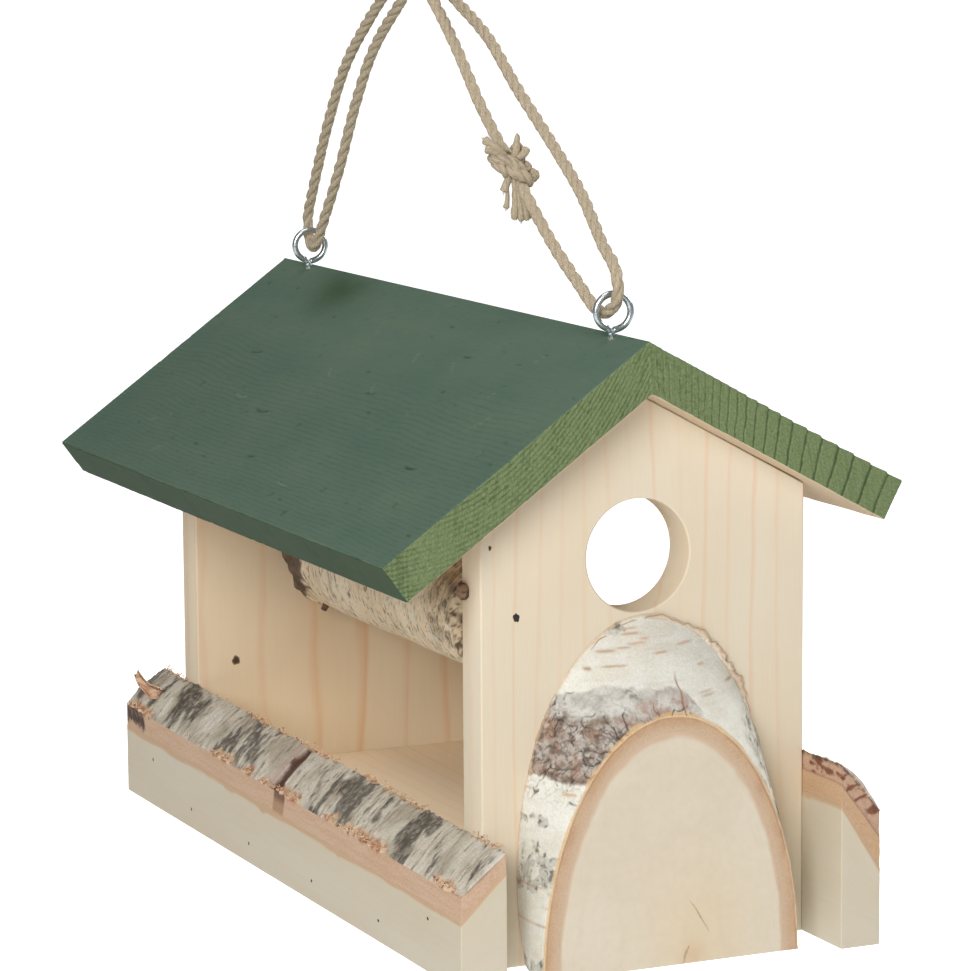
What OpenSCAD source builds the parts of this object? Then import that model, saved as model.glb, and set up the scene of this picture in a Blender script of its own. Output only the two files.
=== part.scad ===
// Hanging bird feeder house: two gable boards on a floor board, a mitred roof, side rails
// sawn from the log with the bark left on, a birch log slice, a perch branch, and a rope
// loop that hangs the house by two screw eyes.
// Lengths are in millimetres. +Z is up, the ridge runs along Y and the front faces -Y.
// The origin is the point under the rope loop where the hook carries it.

/* [Boards] */
// Thickness of the planed boards
board_t = 18; // [16:1:20]
// Width of the two gable boards
gable_w = 145; // [140:1:150]
// Length of the house over both gable boards
body_l = 340; // [334:1:346]

/* [Roof] */
// Height of the ridge above the base
ridge_h = 252; // [248:1:256]
// Distance from the gable's centre line to the ridge, to the left
ridge_left = 8; // [6:0.5:9]
// Pitch of the left roof board in degrees
left_pitch = 36; // [34:0.5:37]
// Pitch of the right roof board in degrees
right_pitch = 28.5; // [27:0.5:30]
// Slope length of the left roof board
left_slope_l = 140; // [130:1:146]
// Slope length of the right roof board
right_slope_l = 134; // [126:1:142]
// How far the eaves reach past the front gable
front_overhang = 16; // [12:1:22]
// How far the eaves reach past the back gable
back_overhang = 31; // [26:1:34]
// How far the board ends run out of square, forwards at the ridge
end_skew = 4; // [0:1:6]

/* [Entrance] */
// Diameter of the entrance hole
entrance_d = 46; // [32:1:50]
// Height of the entrance hole's centre above the base
entrance_h = 163.5; // [160:0.5:165]
// Distance from the gable's centre line to the hole's centre, to the left
entrance_left = 3; // [0:0.5:5]

/* [Side rails] */
// Thickness of the left rail
left_rail_t = 20; // [18:1:22]
// Thickness of the right rail
right_rail_t = 18; // [16:1:20]
// Length of each side rail
rail_l = 391; // [385:1:393]
// How far the left rail stands out past the front gable
left_rail_out = 23.5; // [20:0.5:26]
// How far the right rail stands out past the front gable
right_rail_out = 33; // [28:1:36]

/* [Log slice] */
// Half of the width of the slice across its base
slice_a = 57.5; // [54:0.5:60]
// Height of the slice's front face
slice_b = 102.5; // [98:0.5:105]
// Thickness of the slice
slice_t = 24.5; // [20:0.5:26]
// Thickness of the bark and inner bark around the slice
slice_bark_t = 7; // [5:0.5:9]
// How much higher the slice's back face reaches than its front face
slice_rise = 37; // [30:1:38]

/* [Screw eyes and rope] */
// Outside diameter of each screw eye's ring
ring_od = 17; // [16.5:0.5:18]
// Diameter of the screw eye's wire
wire_d = 2.7; // [2.4:0.1:2.8]
// Turn of each ring away from the ridge line, in degrees
ring_turn = -10; // [-10:1:0]
// Diameter of the rope
rope_d = 5; // [4:0.1:5.2]

/* [Hidden] */
$fn = 64;

// Place of the house under the hook
hook_above_base = 391;
hook_behind_front = 205;
hook_left = 9.5;

half_w = gable_w / 2;
back_in = body_l - board_t;
floor_l = body_l - 2 * board_t;
// Where the undersides of the two roof boards meet, over the gables
left_drop = board_t / cos(left_pitch);
right_drop = board_t / cos(right_pitch);
apex_shift = (left_drop - right_drop) / (tan(left_pitch) + tan(right_pitch));
apex_x = -ridge_left + apex_shift;
apex_z = ridge_h - left_drop + apex_shift * tan(left_pitch);
// The gable's right shoulder is cut a little steeper than the roof, which leaves a thin gap
shoulder_pitch = right_pitch + 1.8;

// Screw eyes
ring_r = (ring_od - wire_d) / 2;
eye_x = -hook_left;
eye_h = 261;
eye_shank_bottom = 212;
eye_ys = [board_t / 2, body_l - board_t / 2];

// Nails and screws: shank radius, length, head radius, head thickness
roof_nail = [0.9, 38, 1.9, 1];
rail_nail = [0.9, 44, 1.6, 1];
floor_nail = [1.1, 45, 2.2, 1];
branch_nail = [1.2, 50, 2.4, 1];
slice_screw = [2, 34, 3.8, 2.6];
// Places of the roof nails, down the slope from the ridge
left_nail_ds = [35, 75];
right_nail_ds = [30, 72];
// Places of the rail nails: distance behind the front face and height above the base
rail_nail_spots = [[9, 22], [60, 9], [133, 9], [207, 9], [280, 9], [331, 22]];
// Places of the nails from the gables into the floor board
floor_nail_xs = [-42, 42];
// Places of the screws that hold the log slice: distance off the centre line and height
slice_screw_spots = [[-22, 48], [22, 48]];

// Perch branch: centre and radius at the front gable, halfway and at the back gable
branch_front = [-54, board_t, 139.5];
branch_mid = [-26, body_l / 2, 129];
branch_back = [4.5, back_in, 117];
branch_rs = [24, 26, 29];

// Side rails: height of the wood and of the bark at the inner and outer face,
// at the front end and at the back end
left_wood_front = [47, 28];
left_wood_back = [51, 32];
left_bark_front = [55, 39];
left_bark_back = [59, 43];
right_wood_front = [60, 32];
right_wood_back = [57, 29];
right_bark_front = [78, 57];
right_bark_back = [75, 54];

// Rope knot: centre, direction of the rope through it, half length and radius
knot_c = [-4.5, -112, -79];
knot_dir = [0, 0.795, 0.606];
knot_half = 13;
knot_r = 9;
tail_r = 4.2;
tail_l = 27;

// Route of the rope, from the knot down to the front eye, over the hook to the back eye
// and over the hook again to the knot
route = [
    [-4.5, -120, -85.5], [-4, -148, -106.5], [-2.5, -170, -121.5], [-2, -182, -129],
    [-1.5, -189.5, -130.8], [-1.5, -196, -129.4], [-1.5, -202, -124.8], [-2, -204, -117.5],
    [-1.5, -199, -110.5], [-0.5, -187, -103.5], [3, -160, -85], [5, -127, -66],
    [5, -95, -46], [5, -66, -26], [4, -35, -11], [3.5, -22, -4],
    [3, -10, 2], [3, 0, 2.5], [3, 10, -3.5], [3, 21, -12.5],
    [3, 53, -35], [3, 75, -60.5], [2.5, 95.5, -93], [1, 114, -121],
    [0.5, 118.5, -128], [0.5, 123, -130.5], [1, 128, -129], [1.5, 131.5, -124.5],
    [1, 130.5, -116.5], [0, 123, -106], [-2, 98.5, -73.5], [-3, 73, -44],
    [-3, 44.5, -22], [-3, 15, -3.5], [-3, 3, 2.5], [-3, -7, 1.5],
    [-4, -29, -11], [-5, -55, -30], [-5, -80.5, -54], [-4.5, -104, -73]];
rope_sides = 10;

// Colours
spruce = [0.87, 0.78, 0.62];
paint = [0.18, 0.27, 0.22];
birch_wood = [0.85, 0.76, 0.62];
birch_bark = [0.66, 0.6, 0.54];
zinc = [0.72, 0.75, 0.78];
steel = [0.5, 0.5, 0.5];
hemp = [0.62, 0.54, 0.4];

// ---- functions ----

function unit(v) = v / norm(v);

// Point on a smooth curve through the route, at point i plus the fraction t
function route_at(i, t) =
    let (n = len(route), a = route[max(i - 1, 0)], b = route[i],
        c = route[min(i + 1, n - 1)], d = route[min(i + 2, n - 1)])
    0.5 * (2 * b + (c - a) * t + (2 * a - 5 * b + 4 * c - d) * pow(t, 2)
        + (3 * b - a - 3 * c + d) * pow(t, 3));

// One ring of the rope's tube, square to the direction of the rope
function rope_ring(p, dir) =
    let (up = unit(cross(dir, [1, 0, 0])), side = cross(up, dir))
    [for (k = [0 : rope_sides - 1])
        let (a = 360 * k / rope_sides)
        p + rope_d / 2 * (cos(a) * side + sin(a) * up)];

// Section of a round branch in a plane across Y
function branch_ring(c, r) = [for (a = [0 : 15 : 345]) c + r * [cos(a), 0, sin(a)]];

// Four-cornered section of a rail's wood or bark, in a plane across Y
function rail_section(y, inner_x, outer_x, low, high) =
    [[inner_x, y, low[0]], [outer_x, y, low[1]], [outer_x, y, high[1]], [inner_x, y, high[0]]];

// ---- shared shapes ----

// Closed solid through a row of rings with the same number of points
module skin(rings) {
    n = len(rings[0]);
    m = len(rings);
    pts = [for (ring = rings) each ring];
    sides = [for (j = [0 : m - 2], k = [0 : n - 1])
        [j * n + k, (j + 1) * n + k, (j + 1) * n + (k + 1) % n, j * n + (k + 1) % n]];
    polyhedron(points = pts, faces = concat(
        [[for (k = [0 : n - 1]) k]],
        sides,
        [[for (k = [n - 1 : -1 : 0]) (m - 1) * n + k]]), convexity = 6);
}

// Moves a shape drawn from the middle of the front gable's foot to its place under the hook
module in_place() {
    translate([hook_left, -hook_behind_front, -hook_above_base]) children();
}

// Extrudes an outline drawn in X and Z, from the distance y backwards by l
module run_back(y, l) {
    translate([0, y + l, 0]) rotate([90, 0, 0]) linear_extrude(l) children();
}

// A nail or screw along +Z that starts at the origin with the top of its head
module fastener(kind) {
    cylinder(h = kind[1], r = kind[0], $fn = 24);
    cylinder(h = kind[3], r = kind[2], $fn = 32);
}

// Turns a fastener to lie along +Y or -Y
module along_y() { rotate([-90, 0, 0]) children(); }
module against_y() { rotate([90, 0, 0]) children(); }

// ---- fasteners in their places ----

module roof_nails(y) {
    for (d = left_nail_ds)
        translate([-ridge_left - d * cos(left_pitch), y, ridge_h - d * sin(left_pitch)])
            rotate([0, 180 - left_pitch, 0]) fastener(roof_nail);
    for (d = right_nail_ds)
        translate([-ridge_left + d * cos(right_pitch), y, ridge_h - d * sin(right_pitch)])
            rotate([0, 180 + right_pitch, 0]) fastener(roof_nail);
}

module rail_nails(side) {
    x = side < 0 ? -half_w - left_rail_t : half_w + right_rail_t;
    for (spot = rail_nail_spots)
        translate([x, spot[0], spot[1]])
            rotate([0, -90 * side, 0]) fastener(rail_nail);
}

module floor_nails(side) {
    y = side < 0 ? 0 : body_l;
    for (x = floor_nail_xs)
        translate([x, y, board_t / 2]) rotate([90 * side, 0, 0]) fastener(floor_nail);
}

module slice_screw_set() {
    for (spot = slice_screw_spots)
        translate([spot[0], board_t, spot[1]]) against_y() fastener(slice_screw);
}

module branch_nail_set() {
    translate([branch_front[0] - 3, 0, branch_front[2] + 3]) along_y() fastener(branch_nail);
    translate([branch_back[0], body_l, branch_back[2]]) against_y() fastener(branch_nail);
}

module eye_bore(y) {
    translate([eye_x, y, eye_shank_bottom]) cylinder(h = eye_h - eye_shank_bottom, d = wire_d, $fn = 24);
}

// ---- wooden parts ----

module gable_outline() {
    polygon([[-half_w, 0], [half_w, 0],
        [half_w, apex_z - (half_w - apex_x) * tan(shoulder_pitch)],
        [apex_x, apex_z],
        [-half_w, apex_z - (half_w + apex_x) * tan(left_pitch)]]);
}

module gable_front() {
    color(spruce) in_place() difference() {
        run_back(0, board_t) gable_outline();
        translate([-entrance_left, -1, entrance_h])
            along_y() cylinder(h = board_t + 2, d = entrance_d, $fn = 96);
        eye_bore(eye_ys[0]);
        roof_nails(eye_ys[0]);
        rail_nails(-1);
        rail_nails(1);
        floor_nails(-1);
        slice_screw_set();
        branch_nail_set();
    }
}

module gable_back() {
    color(spruce) in_place() difference() {
        run_back(back_in, board_t) gable_outline();
        eye_bore(eye_ys[1]);
        roof_nails(eye_ys[1]);
        rail_nails(-1);
        rail_nails(1);
        floor_nails(1);
        branch_nail_set();
    }
}

module floor_board() {
    color(spruce) in_place() difference() {
        translate([-half_w, board_t, 0]) cube([gable_w, floor_l, board_t]);
        rail_nails(-1);
        rail_nails(1);
        floor_nails(-1);
        floor_nails(1);
    }
}

// Section of a roof board: side is -1 for the left board and 1 for the right one
module roof_section(side) {
    pitch = side < 0 ? left_pitch : right_pitch;
    l = side < 0 ? left_slope_l : right_slope_l;
    top = [-ridge_left + side * l * cos(pitch), ridge_h - l * sin(pitch)];
    polygon([[-ridge_left, ridge_h], top, top - board_t * [side * sin(pitch), cos(pitch)],
        [apex_x, apex_z]]);
}

// Plan of the roof, with its ends a little out of square
module roof_plan() {
    reach = left_slope_l + 10;
    slant = end_skew * reach / (left_slope_l * cos(left_pitch));
    front = -front_overhang - end_skew;
    back = body_l + back_overhang - end_skew;
    polygon([[-ridge_left - reach, front + slant], [-ridge_left, front],
        [-ridge_left + reach, front + slant], [-ridge_left + reach, back + slant],
        [-ridge_left, back], [-ridge_left - reach, back + slant]]);
}

module roof_board(side) {
    color(paint) in_place() difference() {
        intersection() {
            run_back(-60, body_l + 120) roof_section(side);
            linear_extrude(ridge_h + 10) roof_plan();
        }
        for (y = eye_ys) {
            eye_bore(y);
            roof_nails(y);
        }
    }
}

module roof_board_left() { roof_board(-1); }
module roof_board_right() { roof_board(1); }

// A rail layer between two heights: side is -1 for the left rail and 1 for the right one
module rail_layer(side, low_front, low_back, high_front, high_back) {
    inner = side * half_w;
    outer = side * (half_w + (side < 0 ? left_rail_t : right_rail_t));
    front = side < 0 ? -left_rail_out : -right_rail_out;
    sections = [rail_section(front, inner, outer, low_front, high_front),
        rail_section(front + rail_l, inner, outer, low_back, high_back)];
    skin(side < 0 ? sections : [sections[1], sections[0]]);
}

module side_rail_left() {
    color(birch_wood) in_place() difference() {
        rail_layer(-1, [0, 0], [0, 0], left_wood_front, left_wood_back);
        rail_nails(-1);
    }
}

module side_rail_left_bark() {
    color(birch_bark) in_place()
        rail_layer(-1, left_wood_front, left_wood_back, left_bark_front, left_bark_back);
}

module side_rail_right() {
    color(birch_wood) in_place() difference() {
        rail_layer(1, [0, 0], [0, 0], right_wood_front, right_wood_back);
        rail_nails(1);
    }
}

module side_rail_right_bark() {
    color(birch_bark) in_place()
        rail_layer(1, right_wood_front, right_wood_back, right_bark_front, right_bark_back);
}

// ---- log slice ----

// How far the log leans back from upright
log_lean = atan2(slice_t, slice_rise);

// Points of the slanting log's section, square to its length, between two angles
function log_arc(inset, from, to, step) = [for (t = [from : step : to])
    [(slice_a - inset) * cos(t), -(slice_b - inset) * sin(log_lean) * sin(t)]];

// Part of the slanting log between the gable and the front of the slice, flat at the base
module log_piece(outline) {
    intersection() {
        translate([0, -slice_t, 0]) rotate([-log_lean, 0, 0])
            translate([0, 0, -2 * slice_b]) linear_extrude(4 * slice_b) polygon(outline);
        slice_room();
    }
}

// Space in front of the gable and above the base
module slice_room() {
    translate([-slice_a - 5, -slice_t, 0])
        cube([2 * slice_a + 10, slice_t, slice_b + slice_rise + 10]);
}

module log_slice() {
    color(birch_wood) in_place() difference() {
        log_piece(log_arc(slice_bark_t, 0, 352.5, 7.5));
        slice_screw_set();
    }
}

module log_slice_bark() {
    color(birch_bark) in_place()
        log_piece(concat(log_arc(0, -45, 225, 7.5), log_arc(slice_bark_t, 225, -45, -7.5)));
}

module perch_branch() {
    color(birch_bark) in_place() difference() {
        skin([branch_ring(branch_back, branch_rs[2]), branch_ring(branch_mid, branch_rs[1]),
            branch_ring(branch_front, branch_rs[0])]);
        branch_nail_set();
    }
}

// ---- metal parts ----

module screw_eye(y) {
    color(zinc) in_place() translate([eye_x, y, 0]) {
        translate([0, 0, eye_h]) rotate([0, 0, ring_turn]) rotate([90, 0, 0])
            rotate_extrude($fn = 64) translate([ring_r, 0]) circle(d = wire_d, $fn = 24);
        translate([0, 0, eye_shank_bottom])
            cylinder(h = eye_h - ring_r - eye_shank_bottom, d = wire_d, $fn = 24);
    }
}

module screw_eye_front() { screw_eye(eye_ys[0]); }
module screw_eye_back() { screw_eye(eye_ys[1]); }

module roof_nails_front() { color(steel) in_place() roof_nails(eye_ys[0]); }
module roof_nails_back() { color(steel) in_place() roof_nails(eye_ys[1]); }
module rail_nails_left() { color(steel) in_place() rail_nails(-1); }
module rail_nails_right() { color(steel) in_place() rail_nails(1); }
module floor_nails_front() { color(steel) in_place() floor_nails(-1); }
module floor_nails_back() { color(steel) in_place() floor_nails(1); }
module slice_screws() { color(steel) in_place() slice_screw_set(); }
module branch_nails() { color(steel) in_place() branch_nail_set(); }

// ---- rope ----

module rope() {
    steps = [for (i = [0 : len(route) - 2], t = [0, 0.5]) [i, t]];
    pts = concat([for (s = steps) route_at(s[0], s[1])], [route[len(route) - 1]]);
    last = len(pts) - 1;
    color(hemp) skin([for (i = [0 : last])
        rope_ring(pts[i], unit(pts[min(i + 1, last)] - pts[max(i - 1, 0)]))]);
}

module rope_knot() {
    // The wrapped knot, round about the rope, and the bundle of loose ends under it
    pitch_down = atan2(knot_dir[2], knot_dir[1]);
    color(hemp) union() {
        translate(knot_c) rotate([pitch_down, 0, 0]) rotate([-90, 0, 0])
            rotate_extrude($fn = 48) polygon([[0, -knot_half], [5, -knot_half],
                [knot_r - 1, -knot_half * 0.6], [knot_r, 0], [knot_r - 1, knot_half * 0.6],
                [5, knot_half], [0, knot_half]]);
        translate(knot_c - [0, 0, tail_l]) cylinder(h = tail_l, r = tail_r, $fn = 32);
    }
}

// ---- draw ----

rope();
rope_knot();
screw_eye_front();
screw_eye_back();
gable_front();
gable_back();
floor_board();
roof_board_left();
roof_board_right();
side_rail_left();
side_rail_left_bark();
side_rail_right();
side_rail_right_bark();
log_slice();
log_slice_bark();
perch_branch();
roof_nails_front();
roof_nails_back();
rail_nails_left();
rail_nails_right();
floor_nails_front();
floor_nails_back();
slice_screws();
branch_nails();
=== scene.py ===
"""Visual model of the hanging bird feeder house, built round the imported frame."""

import itertools
import math

import bpy
import numpy as np
from mathutils import Matrix, Vector


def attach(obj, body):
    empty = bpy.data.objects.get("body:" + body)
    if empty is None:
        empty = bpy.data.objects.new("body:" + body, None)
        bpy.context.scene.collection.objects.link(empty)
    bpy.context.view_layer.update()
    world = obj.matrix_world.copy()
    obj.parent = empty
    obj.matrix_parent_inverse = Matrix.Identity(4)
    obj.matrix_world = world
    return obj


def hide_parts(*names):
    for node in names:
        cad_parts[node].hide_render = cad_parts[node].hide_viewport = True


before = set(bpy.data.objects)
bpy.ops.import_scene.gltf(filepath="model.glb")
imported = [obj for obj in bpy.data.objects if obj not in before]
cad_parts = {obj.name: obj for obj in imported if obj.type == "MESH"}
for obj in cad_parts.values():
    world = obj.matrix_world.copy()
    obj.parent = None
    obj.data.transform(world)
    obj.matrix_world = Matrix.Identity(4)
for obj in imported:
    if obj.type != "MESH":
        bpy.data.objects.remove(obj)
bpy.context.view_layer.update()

# Shapes are written in house millimetres: X from the gable's middle, Y back from the front
# gable's face, Z up from the base. SHIFT takes them to the row frame. The rope's route is
# in the row frame already.
SHIFT = np.array([9.5, -205.0, -391.0])
# The boards' thickness, half the house's width, its length, and the back gable's inner face
T = 18.0
HALF = 72.5
BODY = 340.0
BACK = BODY - T
RNG = np.random.default_rng(11)


# ---- camera and light ----


def place_camera():
    """The camera that the photograph was fitted to: its place, turn, tilt and roll."""
    data = bpy.data.cameras.new("camera")
    data.sensor_fit = "HORIZONTAL"
    data.sensor_width = 36
    data.lens = 149.52
    cam = bpy.data.objects.new("camera", data)
    bpy.context.scene.collection.objects.link(cam)
    yaw, pitch, roll = (math.radians(a) for a in (-24.4, 8.74, -0.39))
    fwd = Vector(
        (-math.sin(yaw) * math.cos(pitch), math.cos(yaw) * math.cos(pitch), -math.sin(pitch))
    )
    right = Vector((math.cos(yaw), math.sin(yaw), 0))
    up = right.cross(fwd)
    r = math.cos(roll) * right + math.sin(roll) * up
    u = -math.sin(roll) * right + math.cos(roll) * up
    m = Matrix((r, u, -fwd)).transposed().to_4x4()
    m.translation = Vector((-0.70613, -1.62785, 0.04561))
    cam.matrix_world = m
    data.clip_end = 50
    bpy.context.scene.camera = cam


def area_light(name, where, target, size, power):
    """A round soft lamp that faces its target."""
    data = bpy.data.lights.new(name, "AREA")
    data.shape = "DISK"
    data.size = size
    data.energy = power
    lamp = bpy.data.objects.new(name, data)
    bpy.context.scene.collection.objects.link(lamp)
    lamp.location = where
    lamp.rotation_euler = (Vector(target) - Vector(where)).to_track_quat("-Z", "Y").to_euler()


# ---- noise ----


def lattice(i, j, k, seed):
    """A fixed number from -1 to 1 for each lattice point."""
    h = (i * 374761393 + j * 668265263 + k * 1274126177 + seed * 974711) & 0xFFFFFFFF
    h = ((h ^ (h >> 13)) * 1103515245) & 0xFFFFFFFF
    h = ((h ^ (h >> 15)) * 668265263) & 0xFFFFFFFF
    return (h ^ (h >> 16)) / 2147483648.0 - 1.0


def box_weights(f):
    """The eight corners of a unit box, each with its weight at the places f in it."""
    for corner in itertools.product((0, 1), repeat=3):
        w = 1
        for k, far in enumerate(corner):
            w = w * (f[..., k] if far else 1 - f[..., k])
        yield corner, w


def noise(p, size, seed=0):
    """Smooth noise from -1 to 1 at points p, with features of this size in mm."""
    q = np.asarray(p, float) / size + 1000.5
    i = np.floor(q).astype(np.int64)
    f = q - i
    f = f * f * (3 - 2 * f)
    out = 0
    for (a, b, c), w in box_weights(f):
        out = out + w * lattice(i[..., 0] + a, i[..., 1] + b, i[..., 2] + c, seed)
    return out


def fbm(p, size, seed=0, octaves=4, gain=0.5):
    """Noise in octaves, each half the size of the one before."""
    size = np.asarray(size, float)
    out, amp, total = 0, 1.0, 0
    for n in range(octaves):
        out = out + amp * noise(p, size / 2**n, seed + 31 * n)
        total += amp
        amp *= gain
    return out / total


def smooth(x, a, b):
    """0 at a, 1 at b, eased between them. a may be above b."""
    t = np.clip((x - a) / (b - a), 0, 1)
    return t * t * (3 - 2 * t)


def patches(low, high, *args):
    """0 to 1, from where noise with these arguments is low to where it is high."""
    return smooth(fbm(*args), low, high)


def blend(a, b, t):
    """Colours or points from a (t = 0) to b (t = 1)."""
    t = np.asarray(t)[..., None]
    return np.asarray(a, float) * (1 - t) + np.asarray(b, float) * t


def bump(x, centre, width, power=2):
    """1 at the centre, falling off to both sides."""
    return np.exp(-(((x - centre) / width) ** power))


def xyz(x, y, z):
    """Points from three columns, any of which may be one number."""
    return np.stack(np.broadcast_arrays(x, y, z), -1)


def unit(v):
    """The vector at length 1."""
    return v / np.linalg.norm(v)


def turn_angles(sides):
    """Evenly spaced angles round a circle, from 0."""
    return np.arange(sides) / sides * 2 * math.pi


# ---- meshes ----


def build(name, points, faces, mat, body, marks=None, replaces=(), sharp=False):
    """A mesh from points in house mm and faces, with its attributes, riding a body."""
    me = bpy.data.meshes.new(name)
    p = (np.asarray(points, float) + SHIFT) / 1000
    me.from_pydata(p.tolist(), [], [list(map(int, f)) for f in faces])
    for key, value in (marks or {}).items():
        value = np.asarray(value, float)
        if value.ndim == 1:
            a = me.attributes.new(key, "FLOAT", "POINT")
            a.data.foreach_set("value", value.astype(np.float32))
        else:
            a = me.attributes.new(key, "FLOAT_VECTOR", "POINT")
            a.data.foreach_set("vector", value.astype(np.float32).ravel())
    me.validate()
    me.update()
    me.shade_smooth()
    if sharp:
        me.set_sharp_from_angle(angle=math.radians(32))
    o = bpy.data.objects.new(name, me)
    bpy.context.scene.collection.objects.link(o)
    me.materials.append(mat)
    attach(o, body)
    if replaces:
        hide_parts(*replaces)
    return o


def colour_mesh(name, p, faces, tint, mat, replaces=(), sharp=False):
    """A mesh on the house for a tinted() material."""
    return build(name, p, faces, mat, "house", {"tint": tint, "wood": p}, replaces, sharp)


def grid_faces(rows, cols, closed=False, start=0):
    """Quads of a grid of rows by cols points, closed round the columns if asked."""
    idx = start + np.arange(rows * cols).reshape(rows, cols)
    if closed:
        idx = np.concatenate([idx, idx[:, :1]], axis=1)
    return np.stack([idx[:-1, :-1], idx[1:, :-1], idx[1:, 1:], idx[:-1, 1:]], -1).reshape(-1, 4)


def ticks(length, step, radius):
    """Places along a side of a board: close together on its rounded edges, even between."""
    inner = np.linspace(
        radius, length - radius, max(2, int(round((length - 2 * radius) / step)) + 1)
    )
    edge = radius * np.array([0, 0.15, 0.4, 0.7])
    return np.concatenate([edge, inner, (length - edge)[::-1]])


def slab(name, corners, step, radius, mat, body, relief=None, paint=None, replaces=()):
    """A board with rounded edges, its six faces as dense grids.

    corners[a][b][c] are its eight corners. a runs across, b through the thickness and c
    along the grain. relief(q, n, x, size) gives mm outwards and paint(q, n, x, size) the
    attributes. q is the place in the board, n the outward direction there in the board's own
    axes, x the place in the house, and size the board's three sides.
    """
    corners = np.array(corners, float)
    edges = [corners[1, 0, 0], corners[0, 1, 0], corners[0, 0, 1]] - corners[0, 0, 0]
    size = np.array([np.linalg.norm(edge) for edge in edges])
    t = [ticks(size[i], step[i], radius) for i in range(3)]
    pts, quads, base = [], [], 0
    for axis in range(3):
        u, v = (axis + 1) % 3, (axis + 2) % 3
        gu, gv = np.meshgrid(t[u], t[v], indexing="ij")
        for side in (0, 1):
            p = np.empty(gu.shape + (3,))
            p[..., u], p[..., v], p[..., axis] = gu, gv, size[axis] * side
            q = grid_faces(len(t[u]), len(t[v]), start=base)
            quads.append(q if side else q[:, ::-1])
            pts.append(p.reshape(-1, 3))
            base += gu.size
    pts, inverse = np.unique(np.round(np.concatenate(pts), 4), axis=0, return_inverse=True)
    quads = inverse.reshape(-1)[np.concatenate(quads)]

    def place(q):
        out = 0
        for corner, w in box_weights(q / size):
            out = out + w[:, None] * corners[corner]
        return out

    core = np.clip(pts, radius, size - radius)
    n = pts - core
    n /= np.linalg.norm(n, axis=1)[:, None]
    q = core + radius * n
    x = place(q)
    out = place(core + (radius + 0.01) * n) - x
    out /= np.linalg.norm(out, axis=1)[:, None]
    # Which way the corners run decides whether the faces must be turned round
    if np.linalg.det(edges) < 0:
        quads = quads[:, ::-1]
    marks = {"wood": q}
    if paint:
        marks.update(paint(q, n, x, size))
    if relief:
        x = x + relief(q, n, x, size)[:, None] * out
    return build(name, x, quads, mat, body, marks, replaces)


def along(path):
    """The length along a path at each of its points."""
    return np.concatenate([[0], np.cumsum(np.linalg.norm(np.diff(path, axis=0), axis=1))])


def spline(points, per=12):
    """A smooth line through the points."""
    p = np.array(points, float)
    p = np.concatenate([[2 * p[0] - p[1]], p, [2 * p[-1] - p[-2]]])
    out = []
    for i in range(1, len(p) - 2):
        a, b, c, d = p[i - 1], p[i], p[i + 1], p[i + 2]
        for t in np.arange(per) / per:
            square = (2 * a - 5 * b + 4 * c - d) * t**2
            out.append(0.5 * (2 * b + (c - a) * t + square + (3 * b - a - 3 * c + d) * t**3))
    out.append(p[-2])
    return np.array(out)


def even(path, step):
    """The path with points this far apart, and the length along it at each."""
    s = along(path)
    at = np.linspace(0, s[-1], max(2, int(round(s[-1] / step)) + 1))
    return np.stack([np.interp(at, s, path[:, k]) for k in range(3)], 1), at


def frames(path, start=(1, 0, 0)):
    """Two directions square to the path at each point, without extra twist."""
    t = np.gradient(path, axis=0)
    t /= np.linalg.norm(t, axis=1)[:, None]
    n = np.array(start, float)
    ns = []
    for d in t:
        n = n - d * np.dot(n, d)
        n /= np.linalg.norm(n)
        ns.append(n)
    ns = np.array(ns)
    return ns, np.cross(t, ns), t


def tube(path, radius, sides=10, start=(1, 0, 0), cap=True):
    """Points and faces of a round tube. radius is a number, one per ring, or rings by sides."""
    n, b, _ = frames(path, start)
    a = turn_angles(sides)
    r = np.asarray(radius, float)
    r = np.broadcast_to(r[:, None] if r.ndim == 1 else r, (len(path), sides))
    ring = np.cos(a)[None, :, None] * n[:, None] + np.sin(a)[None, :, None] * b[:, None]
    p = path[:, None] + r[..., None] * ring
    faces = [list(f[::-1]) for f in grid_faces(len(path), sides, closed=True)]
    p = p.reshape(-1, 3)
    if cap:
        last = (len(path) - 1) * sides
        faces.append(list(range(sides))[::-1])
        faces.append([last + k for k in range(sides)])
    return p, faces


class Parts:
    """Collects several shapes into one mesh."""

    def __init__(self):
        self.p, self.f, self.n, self.marks = [], [], 0, {}

    def add(self, points, faces, **marks):
        self.p.append(points)
        self.f += [[i + self.n for i in f] for f in faces]
        for k, v in marks.items():
            v = np.asarray(v, float)
            self.marks.setdefault(k, []).append(np.broadcast_to(v, (len(points), *v.shape[1:])))
        self.n += len(points)

    def make(self, name, mat, body, **extra):
        marks = {k: np.concatenate(v) for k, v in self.marks.items()}
        return build(name, np.concatenate(self.p), self.f, mat, body, marks, **extra)


def fibre(parts, root, d, side, length, radius, bend, joints=3, sides=4, taper=0.8, **marks):
    """A thin bent fibre that leaves its root along d, turns to the side and gets thinner."""
    t = np.linspace(0, 1, joints + 1)[:, None]
    path = root + length * (d * t + side * bend * t**2)
    p, f = tube(path, radius * (1 - taper * t[:, 0]), sides, side, cap=False)
    parts.add(p, f, **marks)


def splinter(parts, root, d, length, radius, bend, tint, joints):
    """A torn fibre of wood or bark."""
    d = unit(d)
    side = unit(np.cross(d, RNG.normal(size=3)))
    fibre(parts, root, d, side, length, radius, bend, joints, tint=tint)


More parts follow.
